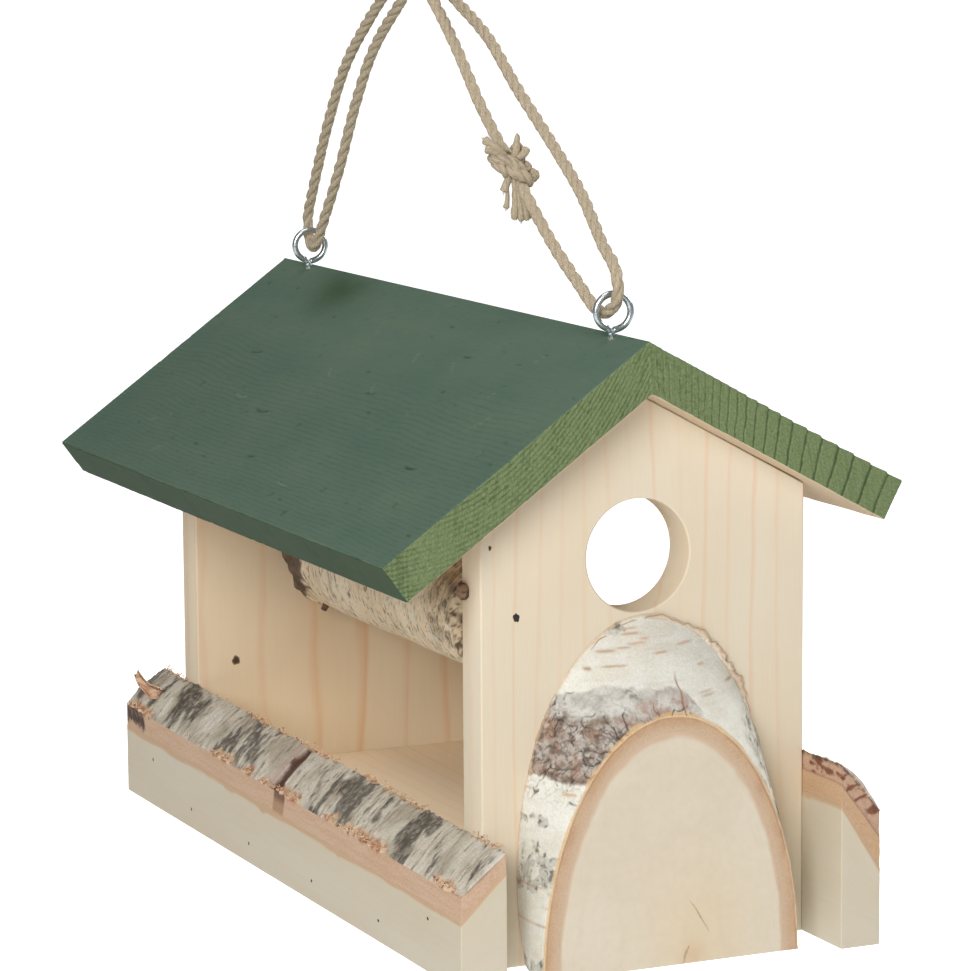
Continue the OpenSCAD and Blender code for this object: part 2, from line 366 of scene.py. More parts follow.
def sheet(top, rows, cols, offset):
    """A closed thin sheet: a grid of points, its copy moved by offset, and the rim between."""
    count = len(top)
    quads = grid_faces(rows, cols)
    faces = [list(q) for q in quads] + [list(q[::-1] + count) for q in quads]
    rim = list(range(cols)) + [cols * a + cols - 1 for a in range(1, rows)]
    rim += [(rows - 1) * cols + b for b in range(cols - 2, -1, -1)]
    rim += [cols * a for a in range(rows - 2, 0, -1)]
    for a, b in zip(rim, rim[1:] + rim[:1]):
        faces.append([a, a + count, b + count, b])
    return np.concatenate([top, top + offset]), faces


# ---- shaders ----


class Shader:
    """One material. Each method adds nodes and gives back their output."""

    def __init__(self, name, rough=0.6, metal=0.0, spec=0.4):
        self.mat = bpy.data.materials.new(name)
        self.mat.use_nodes = True
        self.tree = self.mat.node_tree
        self.tree.nodes.clear()
        out = self.tree.nodes.new("ShaderNodeOutputMaterial")
        self.main = self.tree.nodes.new("ShaderNodeBsdfPrincipled")
        self.main.inputs["Roughness"].default_value = rough
        self.main.inputs["Metallic"].default_value = metal
        self.main.inputs["Specular IOR Level"].default_value = spec
        self.tree.links.new(self.main.outputs[0], out.inputs[0])

    def node(self, kind, *values, **props):
        n = self.tree.nodes.new("ShaderNode" + kind)
        for k, v in props.items():
            setattr(n, k, v)
        for k, v in enumerate(values):
            self.put(n.inputs[k], v)
        return n

    def put(self, socket, value):
        if value is None:
            return
        if isinstance(value, bpy.types.NodeSocket):
            self.tree.links.new(value, socket)
        else:
            socket.default_value = value

    def attr(self, name, vector=False):
        n = self.node("Attribute", attribute_name=name)
        return n.outputs["Vector" if vector else "Fac"]

    def maths(self, op, a, b=None, c=None):
        return self.node("Math", a, b, c, operation=op).outputs[0]

    def scaled(self, vec, scale):
        n = self.node("VectorMath", vec, operation="MULTIPLY")
        n.inputs[1].default_value = scale
        return n.outputs[0]

    def noise(self, vec, scale, detail=3.0, rough=0.55):
        n = self.node("TexNoise")
        self.put(n.inputs["Vector"], vec)
        n.inputs["Scale"].default_value = scale
        n.inputs["Detail"].default_value = detail
        n.inputs["Roughness"].default_value = rough
        return n.outputs[0]

    def ramp(self, fac, *stops):
        n = self.node("ValToRGB", fac)
        r = n.color_ramp
        while len(r.elements) < len(stops):
            r.elements.new(0.5)
        for e, (at, c) in zip(r.elements, stops):
            e.position = at
            e.color = (c, c, c, 1) if np.isscalar(c) else (*c, 1)
        return n.outputs[0]

    def mix(self, fac, a, b, kind="MIX"):
        n = self.tree.nodes.new("ShaderNodeMix")
        n.data_type = "RGBA"
        n.blend_type = kind
        self.put(n.inputs[0], fac)
        for k, v in ((6, a), (7, b)):
            self.put(n.inputs[k], v if isinstance(v, bpy.types.NodeSocket) else (*v, 1))
        return n.outputs[2]

    def finish(self, color=None, rough=None, height=None, depth=0.0002, strength=0.6):
        if color is not None:
            linked = isinstance(color, bpy.types.NodeSocket)
            self.put(self.main.inputs["Base Color"], color if linked else (*color, 1))
        if rough is not None:
            self.put(self.main.inputs["Roughness"], rough)
        if height is not None:
            b = self.node("Bump")
            b.inputs["Strength"].default_value = strength
            b.inputs["Distance"].default_value = depth
            self.put(b.inputs["Height"], height)
            self.put(self.main.inputs["Normal"], b.outputs[0])
        return self.mat


def ring_phase(s, pith, spacing, wobble, stretch=0.006):
    """Number of growth rings from the pith, with a slow waver along the grain."""
    vec = s.attr("wood", True)
    place = s.node("SeparateXYZ", vec)
    du = s.maths("SUBTRACT", place.outputs[0], pith[0])
    dv = s.maths("SUBTRACT", place.outputs[1], pith[1])
    r = s.maths("SQRT", s.maths("ADD", s.maths("MULTIPLY", du, du), s.maths("MULTIPLY", dv, dv)))
    slow = s.noise(s.scaled(vec, (0.02, 0.02, stretch)), 1.0, 3.0, 0.5)
    r = s.maths("ADD", r, s.maths("MULTIPLY", slow, wobble))
    fine = s.noise(s.scaled(vec, (0.12, 0.12, 0.01)), 1.0, 2.0, 0.5)
    r = s.maths("ADD", r, s.maths("MULTIPLY", fine, wobble * 0.12))
    return vec, s.maths("DIVIDE", r, spacing)


def wood(name, pale, line, pith, spacing, wobble, strength, rough=0.62):
    """Planed softwood: thin darker late-wood lines, fine fibres and slow tint changes."""
    s = Shader(name, rough, spec=0.3)
    vec, phase = ring_phase(s, pith, spacing, wobble)
    part = s.maths("FRACT", phase)
    late = s.ramp(
        part, (0.0, 0.12), (0.07, 0.0), (0.76, 0.02), (0.92, 1.0), (0.97, 0.5), (1.0, 0.12)
    )
    year = s.node("TexWhiteNoise", noise_dimensions="1D")
    s.put(year.inputs["W"], s.maths("FLOOR", phase))
    late = s.maths("MULTIPLY", late, s.maths("MULTIPLY_ADD", year.outputs[0], 0.75, 0.25))
    streaks = s.noise(s.scaled(vec, (2.2, 2.2, 0.05)), 1.0, 3.0, 0.6)
    slow = s.noise(s.scaled(vec, (0.03, 0.03, 0.008)), 1.0, 2.0, 0.5)
    warmer = tuple(c * k for c, k in zip(pale, (0.97, 0.93, 0.86)))
    base = s.mix(s.ramp(slow, (0.3, 0.0), (0.7, 1.0)), pale, warmer)
    col = s.mix(s.maths("MULTIPLY", late, strength), base, line)
    fibres = s.maths("MULTIPLY", s.ramp(streaks, (0.35, 1.0), (0.65, 0.0)), 0.10)
    col = s.mix(fibres, col, tuple(c * 0.72 for c in pale))
    col = s.mix(s.attr("tan"), col, (0.56, 0.34, 0.19))
    height = s.maths("ADD", s.maths("MULTIPLY", late, 0.5), s.maths("MULTIPLY", streaks, 0.8))
    return s.finish(col, height=height, depth=0.00012, strength=0.5)


def tinted(name, rough=0.75, grain=(0.5, 0.5, 0.5), amount=0.25, depth=0.0003, spec=0.25):
    """Takes its colour from the mesh, with fine noise over it."""
    s = Shader(name, rough, spec=spec)
    vec = s.attr("wood", True)
    fine = s.noise(s.scaled(vec, grain), 1.0, 5.0, 0.65)
    col = s.mix(amount, s.attr("tint", True), s.ramp(fine, (0.30, 0.28), (0.62, 1.0)), "MULTIPLY")
    return s.finish(col, height=fine, depth=depth, strength=0.7)


def paint_material():
    """The roof's paint: on top, on the cut ends, worn, chipped to the wood, stained, and with
    painted shade on the lower faces of the eaves.
    """
    s = Shader("roof_paint", 0.6, spec=0.12)
    vec = s.attr("wood", True)
    line = s.attr("late")
    end = s.attr("end")
    slow = s.noise(s.scaled(vec, (0.03, 0.03, 0.012)), 1.0, 4.0, 0.6)
    fine = s.noise(s.scaled(vec, (1.6, 1.6, 0.10)), 1.0, 4.0, 0.6)
    top = s.mix(
        s.ramp(slow, (0.32, 0.0), (0.68, 1.0)), (0.084, 0.142, 0.105), (0.110, 0.166, 0.116)
    )
    top = s.mix(s.maths("MULTIPLY", line, 0.50), top, (0.045, 0.088, 0.060))
    top = s.mix(
        s.maths("MULTIPLY", s.ramp(fine, (0.4, 0.0), (0.7, 1.0)), 0.18), top, (0.15, 0.185, 0.125)
    )
    specks = s.noise(s.scaled(vec, (0.9, 0.9, 0.5)), 1.0, 4.0, 0.7)
    cut = s.mix(
        s.ramp(specks, (0.35, 0.0), (0.65, 1.0)), (0.130, 0.182, 0.074), (0.222, 0.272, 0.135)
    )
    cut = s.mix(s.maths("MULTIPLY", line, 0.85), cut, (0.034, 0.060, 0.022))
    col = s.mix(end, top, cut)
    col = s.mix(s.attr("wear"), col, (0.21, 0.27, 0.14))
    col = s.mix(s.attr("bare"), col, (0.66, 0.52, 0.36))
    # This mix darkens real stains, spots and cracks, and also paints shade onto the lower faces of
    # the eaves
    col = s.mix(s.attr("stain"), col, (0.026, 0.054, 0.018))
    rough = s.maths("MULTIPLY_ADD", end, 0.20, 0.6)
    height = s.maths("ADD", s.maths("MULTIPLY", fine, 0.5), s.maths("MULTIPLY", specks, 0.5))
    return s.finish(col, rough=rough, height=height, depth=0.00018, strength=0.5)


def rope_material():
    """Hemp yarn, with its threads along the yarn's own coordinates."""
    s = Shader("hemp", 0.85, spec=0.15)
    yarn = s.attr("yarn", True)
    thread = s.noise(s.scaled(yarn, (0.55, 2.4, 1.0)), 1.0, 4.0, 0.65)
    slow = s.noise(s.scaled(yarn, (0.06, 0.2, 1.0)), 1.0, 2.0, 0.5)
    col = s.ramp(
        thread,
        (0.32, (0.25, 0.175, 0.11)),
        (0.47, (0.47, 0.385, 0.27)),
        (0.70, (0.64, 0.55, 0.42)),
    )
    col = s.mix(s.maths("MULTIPLY", slow, 0.5), col, (0.46, 0.385, 0.265))
    col = s.mix(s.maths("MULTIPLY", s.attr("fibre"), 0.6), col, (0.66, 0.55, 0.38))
    return s.finish(col, height=thread, depth=0.0005, strength=0.9)


def metal(name, color, rough, streak):
    """Bare metal that is a little rougher in places."""
    s = Shader(name, rough, metal=1.0, spec=0.5)
    geo = s.node("TexCoord").outputs["Object"]
    fine = s.noise(s.scaled(geo, (900, 900, 900)), 1.0, 3.0, 0.6)
    rim = s.maths("MULTIPLY_ADD", fine, streak, rough)
    return s.finish(color, rough=rim, height=fine, depth=0.00003, strength=0.3)


# ---- the roof ----

RIDGE_X, RIDGE_Z = -8.0, 252.0
PITCH_L, PITCH_R = math.radians(36), math.radians(28.5)
DROP_L, DROP_R = T / math.cos(PITCH_L), T / math.cos(PITCH_R)
SHIFT_X = (DROP_L - DROP_R) / (math.tan(PITCH_L) + math.tan(PITCH_R))
APEX_X, APEX_Z = RIDGE_X + SHIFT_X, RIDGE_Z - DROP_L + SHIFT_X * math.tan(PITCH_L)
EYE_X, EYE_Z = -9.5, 261.0
EYE_YS = (9.0, 331.0)


def roof_board(side, mat):
    """One roof board, left (side -1) or right (side 1), from the mitre at the ridge down."""
    pitch, length = (PITCH_L, 140.0) if side < 0 else (PITCH_R, 134.0)
    top = np.array([RIDGE_X + side * length * math.cos(pitch), RIDGE_Z - length * math.sin(pitch)])
    low = top - T * np.array([side * math.sin(pitch), math.cos(pitch)])
    skew = 4.0

    def at(xz, back):
        y = (371.0 - skew if back else -16.0 - skew) + skew * abs(xz[0] - RIDGE_X) / 113.3
        return [xz[0], y, xz[1]]

    section = [[(RIDGE_X, RIDGE_Z), (APEX_X, APEX_Z)], [top, low]]
    corners = [[[at(section[a][b], c) for c in (0, 1)] for b in (0, 1)] for a in (0, 1)]

    # Where the growth lines meet the right board's upper face, in mm from the ridge
    lines = [0, 4, 7, 10, 13, 16, 19, 22, 25.5, 29, 33, 37, 41.5, 46, 51, 56.5, 62.5, 69, 76, 83.5]
    lines += [91.5, 100, 108.5, 118, 127, 136, 145]

    def phase(q):
        """Number of the growth ring at a place in the board."""
        u, v, w = q[:, 0], q[:, 1], q[:, 2]
        slow = fbm(xyz(5, v * 0.2, w), (30, 30, 90), 3 + side, 3) * 5
        wave = slow + fbm(q * [1, 1, 0.35], 26, 9 + side, 3) * 1.6
        if side < 0:
            wave = wave + 1.5 * fbm(q * [1, 1, 0.3], 10, 13, 3)
            return np.hypot(u - 75 + wave * 0.9, v + 85 + 0.35 * wave) / 2.3
        place = u + 0.25 * wave + 0.9 * fbm(q * [1, 1, 0.4], 7, 15, 3) - 0.002 * (v - 4) ** 2
        return np.interp(place, lines, np.arange(len(lines)))

    def top_lines(q):
        """Growth lines along the upper face, which wave a little and lie closer lower down."""
        if side > 0:
            return phase(q) % 1.0
        u, w = q[:, 0], q[:, 2]
        sway = 11 * fbm(xyz(u * 0.4, 0, w), 75, 21, 3)
        ripple = 2.6 * fbm(xyz(u, 0, w * 0.4), 13, 23, 3)
        return ((u + sway + ripple) / 4.6 + 0.0009 * u**2) % 1.0

    def joined(q, n):
        """Outward directions with the mitre's own left out, so the boards meet edge to edge."""
        n = n.copy()
        n[q[:, 0] < 0.71, 0] = 0
        return n / np.maximum(np.linalg.norm(n, axis=1), 1e-6)[:, None]

    def saw_marks(q):
        """Slanting saw marks on the cut ends."""
        return fbm(xyz(q[:, 0] - q[:, 1] * 0.6, 0, q[:, 2]), (1.3, 9, 9), 5, 2)

    def lower_half(q, x):
        """0 near the ridge and 1 down the board, with a ragged line between."""
        return smooth(q[:, 0] + 14 * fbm(x, 60, 77, 2), 30, 70)

    def edges(n):
        """More than 0 on the board's long edges."""
        return np.abs(n[:, 0] * n[:, 1]) + np.abs(n[:, 1] * n[:, 2])

    def nicks(q):
        """Short curved cracks in the upper face."""
        out = np.zeros(len(q))
        spots = (
            (58, 305, 6), (88, 236, 8), (62, 163, 4), (92, 64, 6), (30, 120, 3), (112, 200, 4)
        )
        for u, w, long in spots:
            du, dw = q[:, 0] - u, q[:, 2] - w
            line = np.abs(du - 0.10 * dw + 0.035 * dw**2)
            within = 1 - smooth(np.abs(dw), long * 0.6, long)
            out = np.maximum(out, (1 - smooth(line, 0.35, 0.9)) * within)
        return out

    def scratches(q):
        """Thin pale scratches in the paint."""
        rng = np.random.default_rng(31 + side)
        out = np.zeros(len(q))
        for _ in range(16):
            u, w = rng.uniform(8, 132), rng.uniform(10, 360)
            a, long = rng.uniform(-1.2, 1.2), rng.uniform(2, 8)
            du, dw = q[:, 0] - u, q[:, 2] - w
            s = du * math.sin(a) + dw * math.cos(a)
            t = du * math.cos(a) - dw * math.sin(a) + 0.03 * s**2
            within = 1 - smooth(np.abs(s), long * 0.6, long)
            out = np.maximum(out, (1 - smooth(np.abs(t), 0.1, 0.6)) * within)
        return out

    def relief(q, n, x, size):
        fill = 0.7 * (1 / np.abs(n).max(axis=1) - 1) * (q[:, 0] < 0.71)
        n = joined(q, n)
        p = phase(q)
        f = p % 1.0
        top_f = top_lines(q)
        ridge = np.where(top_f < 0.8, top_f / 0.8, (1 - top_f) / 0.2)
        on_top = smooth(-n[:, 1], 0.3, 0.9)
        on_end = smooth(np.abs(n[:, 2]), 0.4, 0.9)
        lower = 0.25 + 0.75 * lower_half(q, x)
        out = on_top * (0.10 + 0.40 * lower) * (ridge - 0.9) * smooth(size[2] - q[:, 2], -1, 7)
        saw = saw_marks(q)
        groove = 0.12 if side < 0 else 0.32
        calm = 0.35 + 0.65 * smooth(q[:, 1], 1, 5)
        out = out + on_end * (calm * (-groove * smooth(f, 0.8, 0.97) + 0.16 * saw) - 0.1)
        out = out - on_top * 0.5 * nicks(q)
        out = out - 0.35 * np.abs(fbm(x, 40, 17, 3)) * (1 - on_top)
        out = out - 0.2 * patches(0.2, 0.6, x, 5, 19, 2)
        edge = smooth(edges(n) + np.abs(n[:, 0] * n[:, 2]), 0.15, 0.5)
        edge = edge * smooth(q[:, 0], 1.5, 4)
        out = out - edge * 0.35 * patches(-0.1, 0.5, x, 6, 23, 3)
        if side > 0:
            lines_down = smooth(f, 0.8, 0.97) * smooth(q[:, 0], 40, 80)
            out = out - smooth(-n[:, 1], 0.2, 0.7) * 0.4 * lines_down
        return np.minimum(out, 0.15) * smooth(q[:, 0], 0, 1.2) + fill

    def paint(q, n, x, size):
        n = joined(q, n)
        p = phase(q)
        f = p % 1.0
        late = smooth(f, 0.55 if side < 0 else 0.70, 0.93) * (1 - smooth(f, 0.95, 1.0))
        end = smooth(np.abs(n[:, 2]), 0.55, 0.85)
        saw = saw_marks(q)
        sawn = 0.35 * smooth(saw, 0.0, 0.4) - 0.2 * smooth(-saw, 0.0, 0.4)
        late = np.clip(late + end * sawn, 0, 1)
        if side < 0:
            top_f = top_lines(q)
            top_late = smooth(top_f, 0.6, 0.93) * (1 - smooth(top_f, 0.95, 1.0))
            late = np.where(end > 0.5, late, top_late)
        under = smooth(n[:, 1], 0.4, 0.8)
        crumbs = fbm(x, (1.3, 1.3, 1.3), 87, 3, 0.6)
        if side > 0:
            clear = 0.35 + 0.65 * smooth(q[:, 0], 14, 52)
            late = 0.85 * late**1.8 * clear + (1 - clear) * 0.6 * smooth(crumbs, -0.05, 0.35)
        else:
            faint = 0.30 + 0.45 * patches(-0.3, 0.4, x, 12, 89, 3)
            late = late * np.where(end > 0.5, faint, 0.85) + end * 0.30 * smooth(crumbs, 0.05, 0.4)
        late = np.where(end > 0.5, late, late * (0.2 + 0.8 * lower_half(q, x)))
        edge = smooth(edges(n), 0.2, 0.48) * smooth(q[:, 0], 2, 5)
        on_top = smooth(-n[:, 1], 0.5, 0.9)
        wear = edge * (0.10 + 0.4 * patches(-0.1, 0.5, x, 7, 41, 3)) + 0.55 * scratches(q) * on_top
        lip = smooth(n[:, 0], 0.2, 0.5) * (1 - smooth(n[:, 0], 0.75, 0.9))
        lip = lip * smooth(q[:, 0], 60, 100)
        wear = wear + 0.5 * lip * on_top * patches(-0.2, 0.2, x, 20, 97, 3)
        spots = patches(0.60, 0.70, x, (3.2, 5, 3.2), 47, 2) * smooth(-n[:, 1], 0.5, 0.9)
        if side < 0:
            patch = bump(q[:, 0] - 5 * fbm(x, 22, 95, 3), 11, 13) * bump(x[:, 1], 276, 26)
        else:
            patch = np.zeros(len(x))
        halo = bump(x[:, 0], EYE_X, 2.2) * bump(x[:, 1], EYE_YS[0], 2.4)
        chips = patches(0.62, 0.72, x, 4.5, 53, 2) * edge
        # Painted shade: the lower faces of the eaves are darkened in colour, as if they were in
        # shade
        eave_shade = 0.75 * smooth(n[:, 0], 0.5, 0.9) * smooth(q[:, 0], 60, 100)
        bare = np.clip(under * 0.96 + 0.12 * halo * smooth(-n[:, 1], 0.2, 0.8) + chips * 0.3, 0, 1)
        stain = 0.68 * patch * on_top + 0.45 * spots + 0.6 * nicks(q) * on_top + eave_shade
        return {
            "late": np.clip(late, 0, 1),
            "end": end * (1 - under),
            "wear": np.clip(wear * (1 - under) * patches(-0.6, 0.2, x, 60, 43, 2), 0, 1),
            "bare": bare,
            "stain": np.clip(stain, 0, 1),
        }

    way = "left" if side < 0 else "right"
    node = "roof_board_" + way
    slab("roof_" + way, corners, (0.45, 0.45, 1.5), 0.7, mat, "house", relief, paint, (node,))


# ---- flat boards ----


def flat_board(name, outline, holes, y0, y1, mat, replaces):
    """A board cut from an outline in X and Z, with round holes and eased edges."""
    curve = bpy.data.curves.new(name, "CURVE")
    curve.dimensions = "2D"
    curve.fill_mode = "BOTH"
    ease = 0.7
    loops = [np.array(outline, float)]
    for cx, cz, r in holes:
        a = turn_angles(128)
        loops.append(np.stack([cx + r * np.cos(a), cz + r * np.sin(a)], 1))
    for loop in loops:
        sp = curve.splines.new("POLY")
        sp.points.add(len(loop) - 1)
        for pt, (px, pz) in zip(sp.points, loop):
            pt.co = (px, pz, 0, 1)
        sp.use_cyclic_u = True
    curve.extrude = (y1 - y0) / 2 - ease
    curve.bevel_depth = ease
    curve.bevel_resolution = 2
    curve.offset = -ease
    ob = bpy.data.objects.new(name + "_outline", curve)
    bpy.context.scene.collection.objects.link(ob)
    me = bpy.data.meshes.new_from_object(ob.evaluated_get(bpy.context.evaluated_depsgraph_get()))
    bpy.data.objects.remove(ob)
    p = np.array([v.co[:] for v in me.vertices])
    faces = [list(f.vertices) for f in me.polygons]
    bpy.data.meshes.remove(me)
    x = xyz(p[:, 0], (y0 + y1) / 2 + p[:, 2], p[:, 1])
    faces = [f[::-1] for f in faces]
    return build(name, x, faces, mat, "house", {"wood": x}, replaces, sharp=True)


def knot_spot(name, where, radius, mat, squash=(1, 1)):
    """A small dark knot flush in the front face of a board that stands across Y."""
    x, y, z = where
    a = turn_angles(20)
    wob = 1 + 0.09 * np.sin(3 * a + x) + 0.07 * np.sin(5 * a + z)
    rings = []
    for f, lift in ((0.0, 0.10), (0.55, 0.10), (1.0, -0.05)):
        across = f * radius * squash[0] * wob * np.cos(a)
        rings.append(xyz(x + across, y - lift, z + f * radius * squash[1] * wob * np.sin(a)))
    p = np.concatenate(rings)
    tint = np.repeat([[0.05, 0.035, 0.03], [0.10, 0.06, 0.04], [0.55, 0.36, 0.20]], 20, 0)
    faces = grid_faces(3, 20, closed=True)
    build(name, p, faces, mat, "house", {"tint": tint})


# ---- rails ----


def rail_wood(name, inner, outer, y0, y1, top, mat, node):
    """A rail's wood, up to the bark. top is its height at [inner, outer] by [front, back]."""
    side = 1 if outer > inner else -1
    corners = [
        [[[xx, yy, zz] for yy in (y0, y1)] for zz in (0.0, 1.0)] for xx in (inner, outer)
    ]
    for a in (0, 1):
        for c in (0, 1):
            corners[a][1][c][2] = top[a][c]

    def paint(q, n, x, size):
        f = (x[:, 0] - inner) / (outer - inner)
        g = (x[:, 1] - y0) / (y1 - y0)
        high = (
            (1 - f) * ((1 - g) * top[0][0] + g * top[0][1])
            + f * ((1 - g) * top[1][0] + g * top[1][1])
        )
        edge = (
            2.0 + 1.3 * fbm(x * [0.2, 1, 0.2], 26, 61, 3)
            + 0.9 * patches(0.3, 0.45, x * [0, 1, 0], 14, 67, 2)
        )
        return {"tan": smooth(x[:, 2], high - edge - 0.35, high - edge + 0.35) * 0.8}

    def relief(q, n, x, size):
        return -0.12 * np.abs(fbm(x, (3, 40, 3), 71 + side, 3))

    return slab(name, corners, (2.0, 1.0, 1.2), 0.35, mat, "house", relief, paint, (node,))


# Each rail's inner and outer side in X, and its ends in Y
RAIL_LEFT = (-HALF, -92.5, -23.5, 367.5)
RAIL_RIGHT = (HALF, 90.5, -33.0, 358.0)

WHITE_BARK = (0.70, 0.645, 0.535)
GREY_BARK = (0.41, 0.345, 0.26)
DARK_BARK = (0.062, 0.047, 0.038)


def torn_at(y, seed):
    """How torn the edge of a rail's bark is at the places y along it, from 0 to 1."""
    return patches(-0.05, 0.2, xyz(y, 3.3, 5.1), 24, seed + 41, 3)


def rail_bark(name, inner, outer, y0, y1, low, high, mat, node, seed):
    """The layer of bark along the top of a rail, rough above and cut flat at the sides.

    low and high are the heights of its two faces at [inner, outer] by [front, back].
    """
    corners = [
        [[[xx, yy, 0.0] for yy in (y0, y1)] for _ in (0, 1)] for xx in (inner, outer)
    ]
    for a in (0, 1):
        for c in (0, 1):
            corners[a][0][c][2] = low[a][c]
            corners[a][1][c][2] = high[a][c]
    left = outer < inner
    width = math.hypot(outer - inner, low[1][0] - low[0][0])

    def cross(x):
        """Where a point is along the rail, with the slant that the bark's bands have."""
        return x[:, 1] + 0.28 * np.abs(x[:, 0] - inner)

    def bands(x):
        """Narrow bands across the rail, from -1 to 1."""
        p = xyz(x[:, 0] * 0.22, cross(x) + 1.2 * fbm(x, 8, seed + 2, 2), x[:, 2] * 0.05)
        return fbm(p, 2.4, seed, 4, 0.62)

    def dark(x):
        """1 in the dark rough patches, which lie round the places listed as hills."""
        c = cross(x)
        if left:
            hills = [(246, 15, 1.0), (120, 24, 1.0), (44, 14, 0.9), (322, 10, 0.5)]
        else:
            hills = [(20, 16, 1.0), (90, 22, 0.8), (190, 18, 1.0), (300, 22, 0.9)]
        w = sum(k * bump(c, a, b, 4) for a, b, k in hills)
        p = xyz(x[:, 0] * 0.6, c, x[:, 2] * 0.3)
        return smooth(fbm(p, 11, seed + 5, 4, 0.62) + 0.46 * w, 0.22, 0.42)

    def split(x):
        """The bare dark band where the bark has parted."""
        if not left:
            return np.zeros(len(x))
        return 1 - smooth(np.abs(cross(x) - 180 + 1.8 * fbm(x, 9, seed + 9, 3)), 3.4, 4.4)

    def fray(q, x):
        """1 on the torn edges, whose width changes along the rail."""
        wide = 5.6 * torn_at(x[:, 1], seed) - 1.2
        lip = np.minimum(width - q[:, 0], q[:, 0] * 2.2 + 0.8)
        return (
            smooth(lip + 2.6 * fbm(x, 3.2, seed + 43, 3), wide + 0.4, wide - 0.5) * (1 - split(x))
        )

    def relief(q, n, x, size):
        up = smooth(n[:, 1], 0.15, 0.75)
        crown = math.pi * q[:, 0] / size[0]
        plates = fbm(xyz(x[:, 0] * 0.35, cross(x), x[:, 2] * 0.2), 5.5, seed + 13, 4, 0.6)
        crumbs = fbm(x * [0.8, 1.2, 0.8], 2.2, seed + 17, 3, 0.6)
        scale = 1 if left else 1.8
        out = (
            up
            * (
                1.4 * scale * np.sin(crown) + 1.1 * plates + 0.5 * bands(x)
                + dark(x) * 1.1 * crumbs - 2.2 * split(x)
            )
        )
        torn = fray(q, x) * up
        lumps = fbm(x, (2.6, 2.6, 2.6), seed + 19, 3, 0.6)
        out = out * (1 - 0.6 * torn) + torn * (2.0 * lumps - 0.3)
        f = 1 - np.clip(q[:, 1] / size[1], 0, 1)
        hang = smooth(0.12 - f + 0.18 * lumps, 0.0, 0.2) * (1 - up) * torn_at(x[:, 1], seed)
        if not left:
            out = out + (1 - up) * smooth(q[:, 1] / size[1], 0.48, 0.6) * 0.7 * (lumps - 0.4)
        return (
            out + (1 - up)
            * (0.2 * fbm(x, (4, 9, 1.6), seed + 21, 3) - 0.2 + hang * (0.9 * lumps + 0.25))
        )

    def paint(q, n, x, size):
        up = smooth(n[:, 1], 0.25, 0.7)
        layer = np.clip(q[:, 1] / size[1], 0, 1)
        b = bands(x)
        col = blend(WHITE_BARK, GREY_BARK, smooth(b, 0.0, 0.5))
        threads = fbm(xyz(x[:, 0] * 0.3, cross(x), x[:, 2] * 0.1), 1.5, seed + 29, 3, 0.6)
        col = blend(col, DARK_BARK, smooth(threads, 0.22, 0.5) * 0.7)
        col = blend(col, (0.42, 0.355, 0.27), 0.6 * patches(0.0, 0.35, x, 15, seed + 33, 3))
        col = blend(
            col, (0.77, 0.725, 0.64), 0.8 * patches(0.25, 0.45, x, (11, 9, 11), seed + 35, 3)
        )
        d = dark(x)
        grain = patches(-0.2, 0.4, x * [0.8, 1.3, 0.8], 1.7, seed + 37, 3, 0.6)
        col = blend(col, blend(DARK_BARK, (0.30, 0.275, 0.22), grain * 0.85), d * 0.85)
        if left:
            pale = 1 - smooth(np.abs(cross(x) - 187.5 + 2 * fbm(x, 7, seed + 39, 2)), 2.5, 4.0)
            col = blend(col, (0.62, 0.47, 0.40), pale * 0.8)
        col = blend(col, (0.115, 0.05, 0.036), split(x) * 0.95)
        lumps = fbm(x, (2.6, 2.6, 2.6), seed + 19, 3, 0.6)
        torn_col = blend((0.44, 0.20, 0.10), (0.76, 0.54, 0.36), smooth(lumps, -0.35, 0.25))
        torn_col = blend(
            torn_col, (0.55, 0.17, 0.09), patches(0.35, 0.55, x, 6, seed + 45, 3) * 0.8
        )
        torn_col = blend(
            torn_col, (0.80, 0.66, 0.47), patches(0.2, 0.45, x, 4, seed + 49, 3) * 0.6
        )
        col = blend(col, torn_col, fray(q, x) * 0.9)
        wob = 0.09 * fbm(x * [0.5, 1, 0.3], 11, seed + 47, 4)
        inner_col = blend(
            (0.68, 0.475, 0.335),
            (0.64, 0.425, 0.28),
            patches(-0.3, 0.4, x, (2, 18, 1.2), seed + 51, 3),
        )
        reach = 0.93 + 0.16 * fbm(x * [0.3, 1, 0.3], 15, seed + 53, 3) + 0.14 * lumps
        reach = reach + 0.4 * (1 - torn_at(x[:, 1], seed))
        edge = smooth(layer, reach - 0.05, reach + 0.05)
        side = blend(inner_col, torn_col, edge)
        if left:
            notch = 1 - smooth(np.abs(x[:, 1] - 172 + 0.3 * (x[:, 2] - 30)), 5.5, 7.0)
            side = blend(
                side,
                blend((0.44, 0.27, 0.16), (0.16, 0.075, 0.05), smooth(layer, 0.4, 0.8)),
                notch * 0.85,
            )
            burnt = (
                smooth(x[:, 1] + 9 * fbm(x, 8, seed + 55, 3), 343, 348)
                * smooth(layer + 0.4 * lumps, 0.15, 0.35)
            )
            side = blend(
                side,
                blend((0.10, 0.07, 0.055), (0.26, 0.17, 0.12), smooth(lumps, -0.1, 0.4)),
                burnt,
            )
        else:
            side = blend(side, (0.62, 0.39, 0.215), 0.6 * (1 - edge))
            front = np.maximum(smooth(-n[:, 2], 0.5, 0.8), smooth(-n[:, 0], 0.5, 0.8))
            flaky = blend(
                (0.60, 0.39, 0.27),
                (0.24, 0.10, 0.06),
                patches(0.04, 0.24, x, (5, 5, 1.8), seed + 57, 4, 0.6),
            )
            flaky = blend(
                flaky, (0.10, 0.065, 0.045), smooth(layer + 0.25 * lumps, 0.90, 0.98) * 0.8
            )
            side = blend(side, flaky, front * smooth(layer + wob, 0.50, 0.56))
            side = blend(
                side,
                (0.30, 0.15, 0.09),
                front * (1 - smooth(np.abs(layer + wob - 0.53), 0.01, 0.035)) * 0.5,
            )
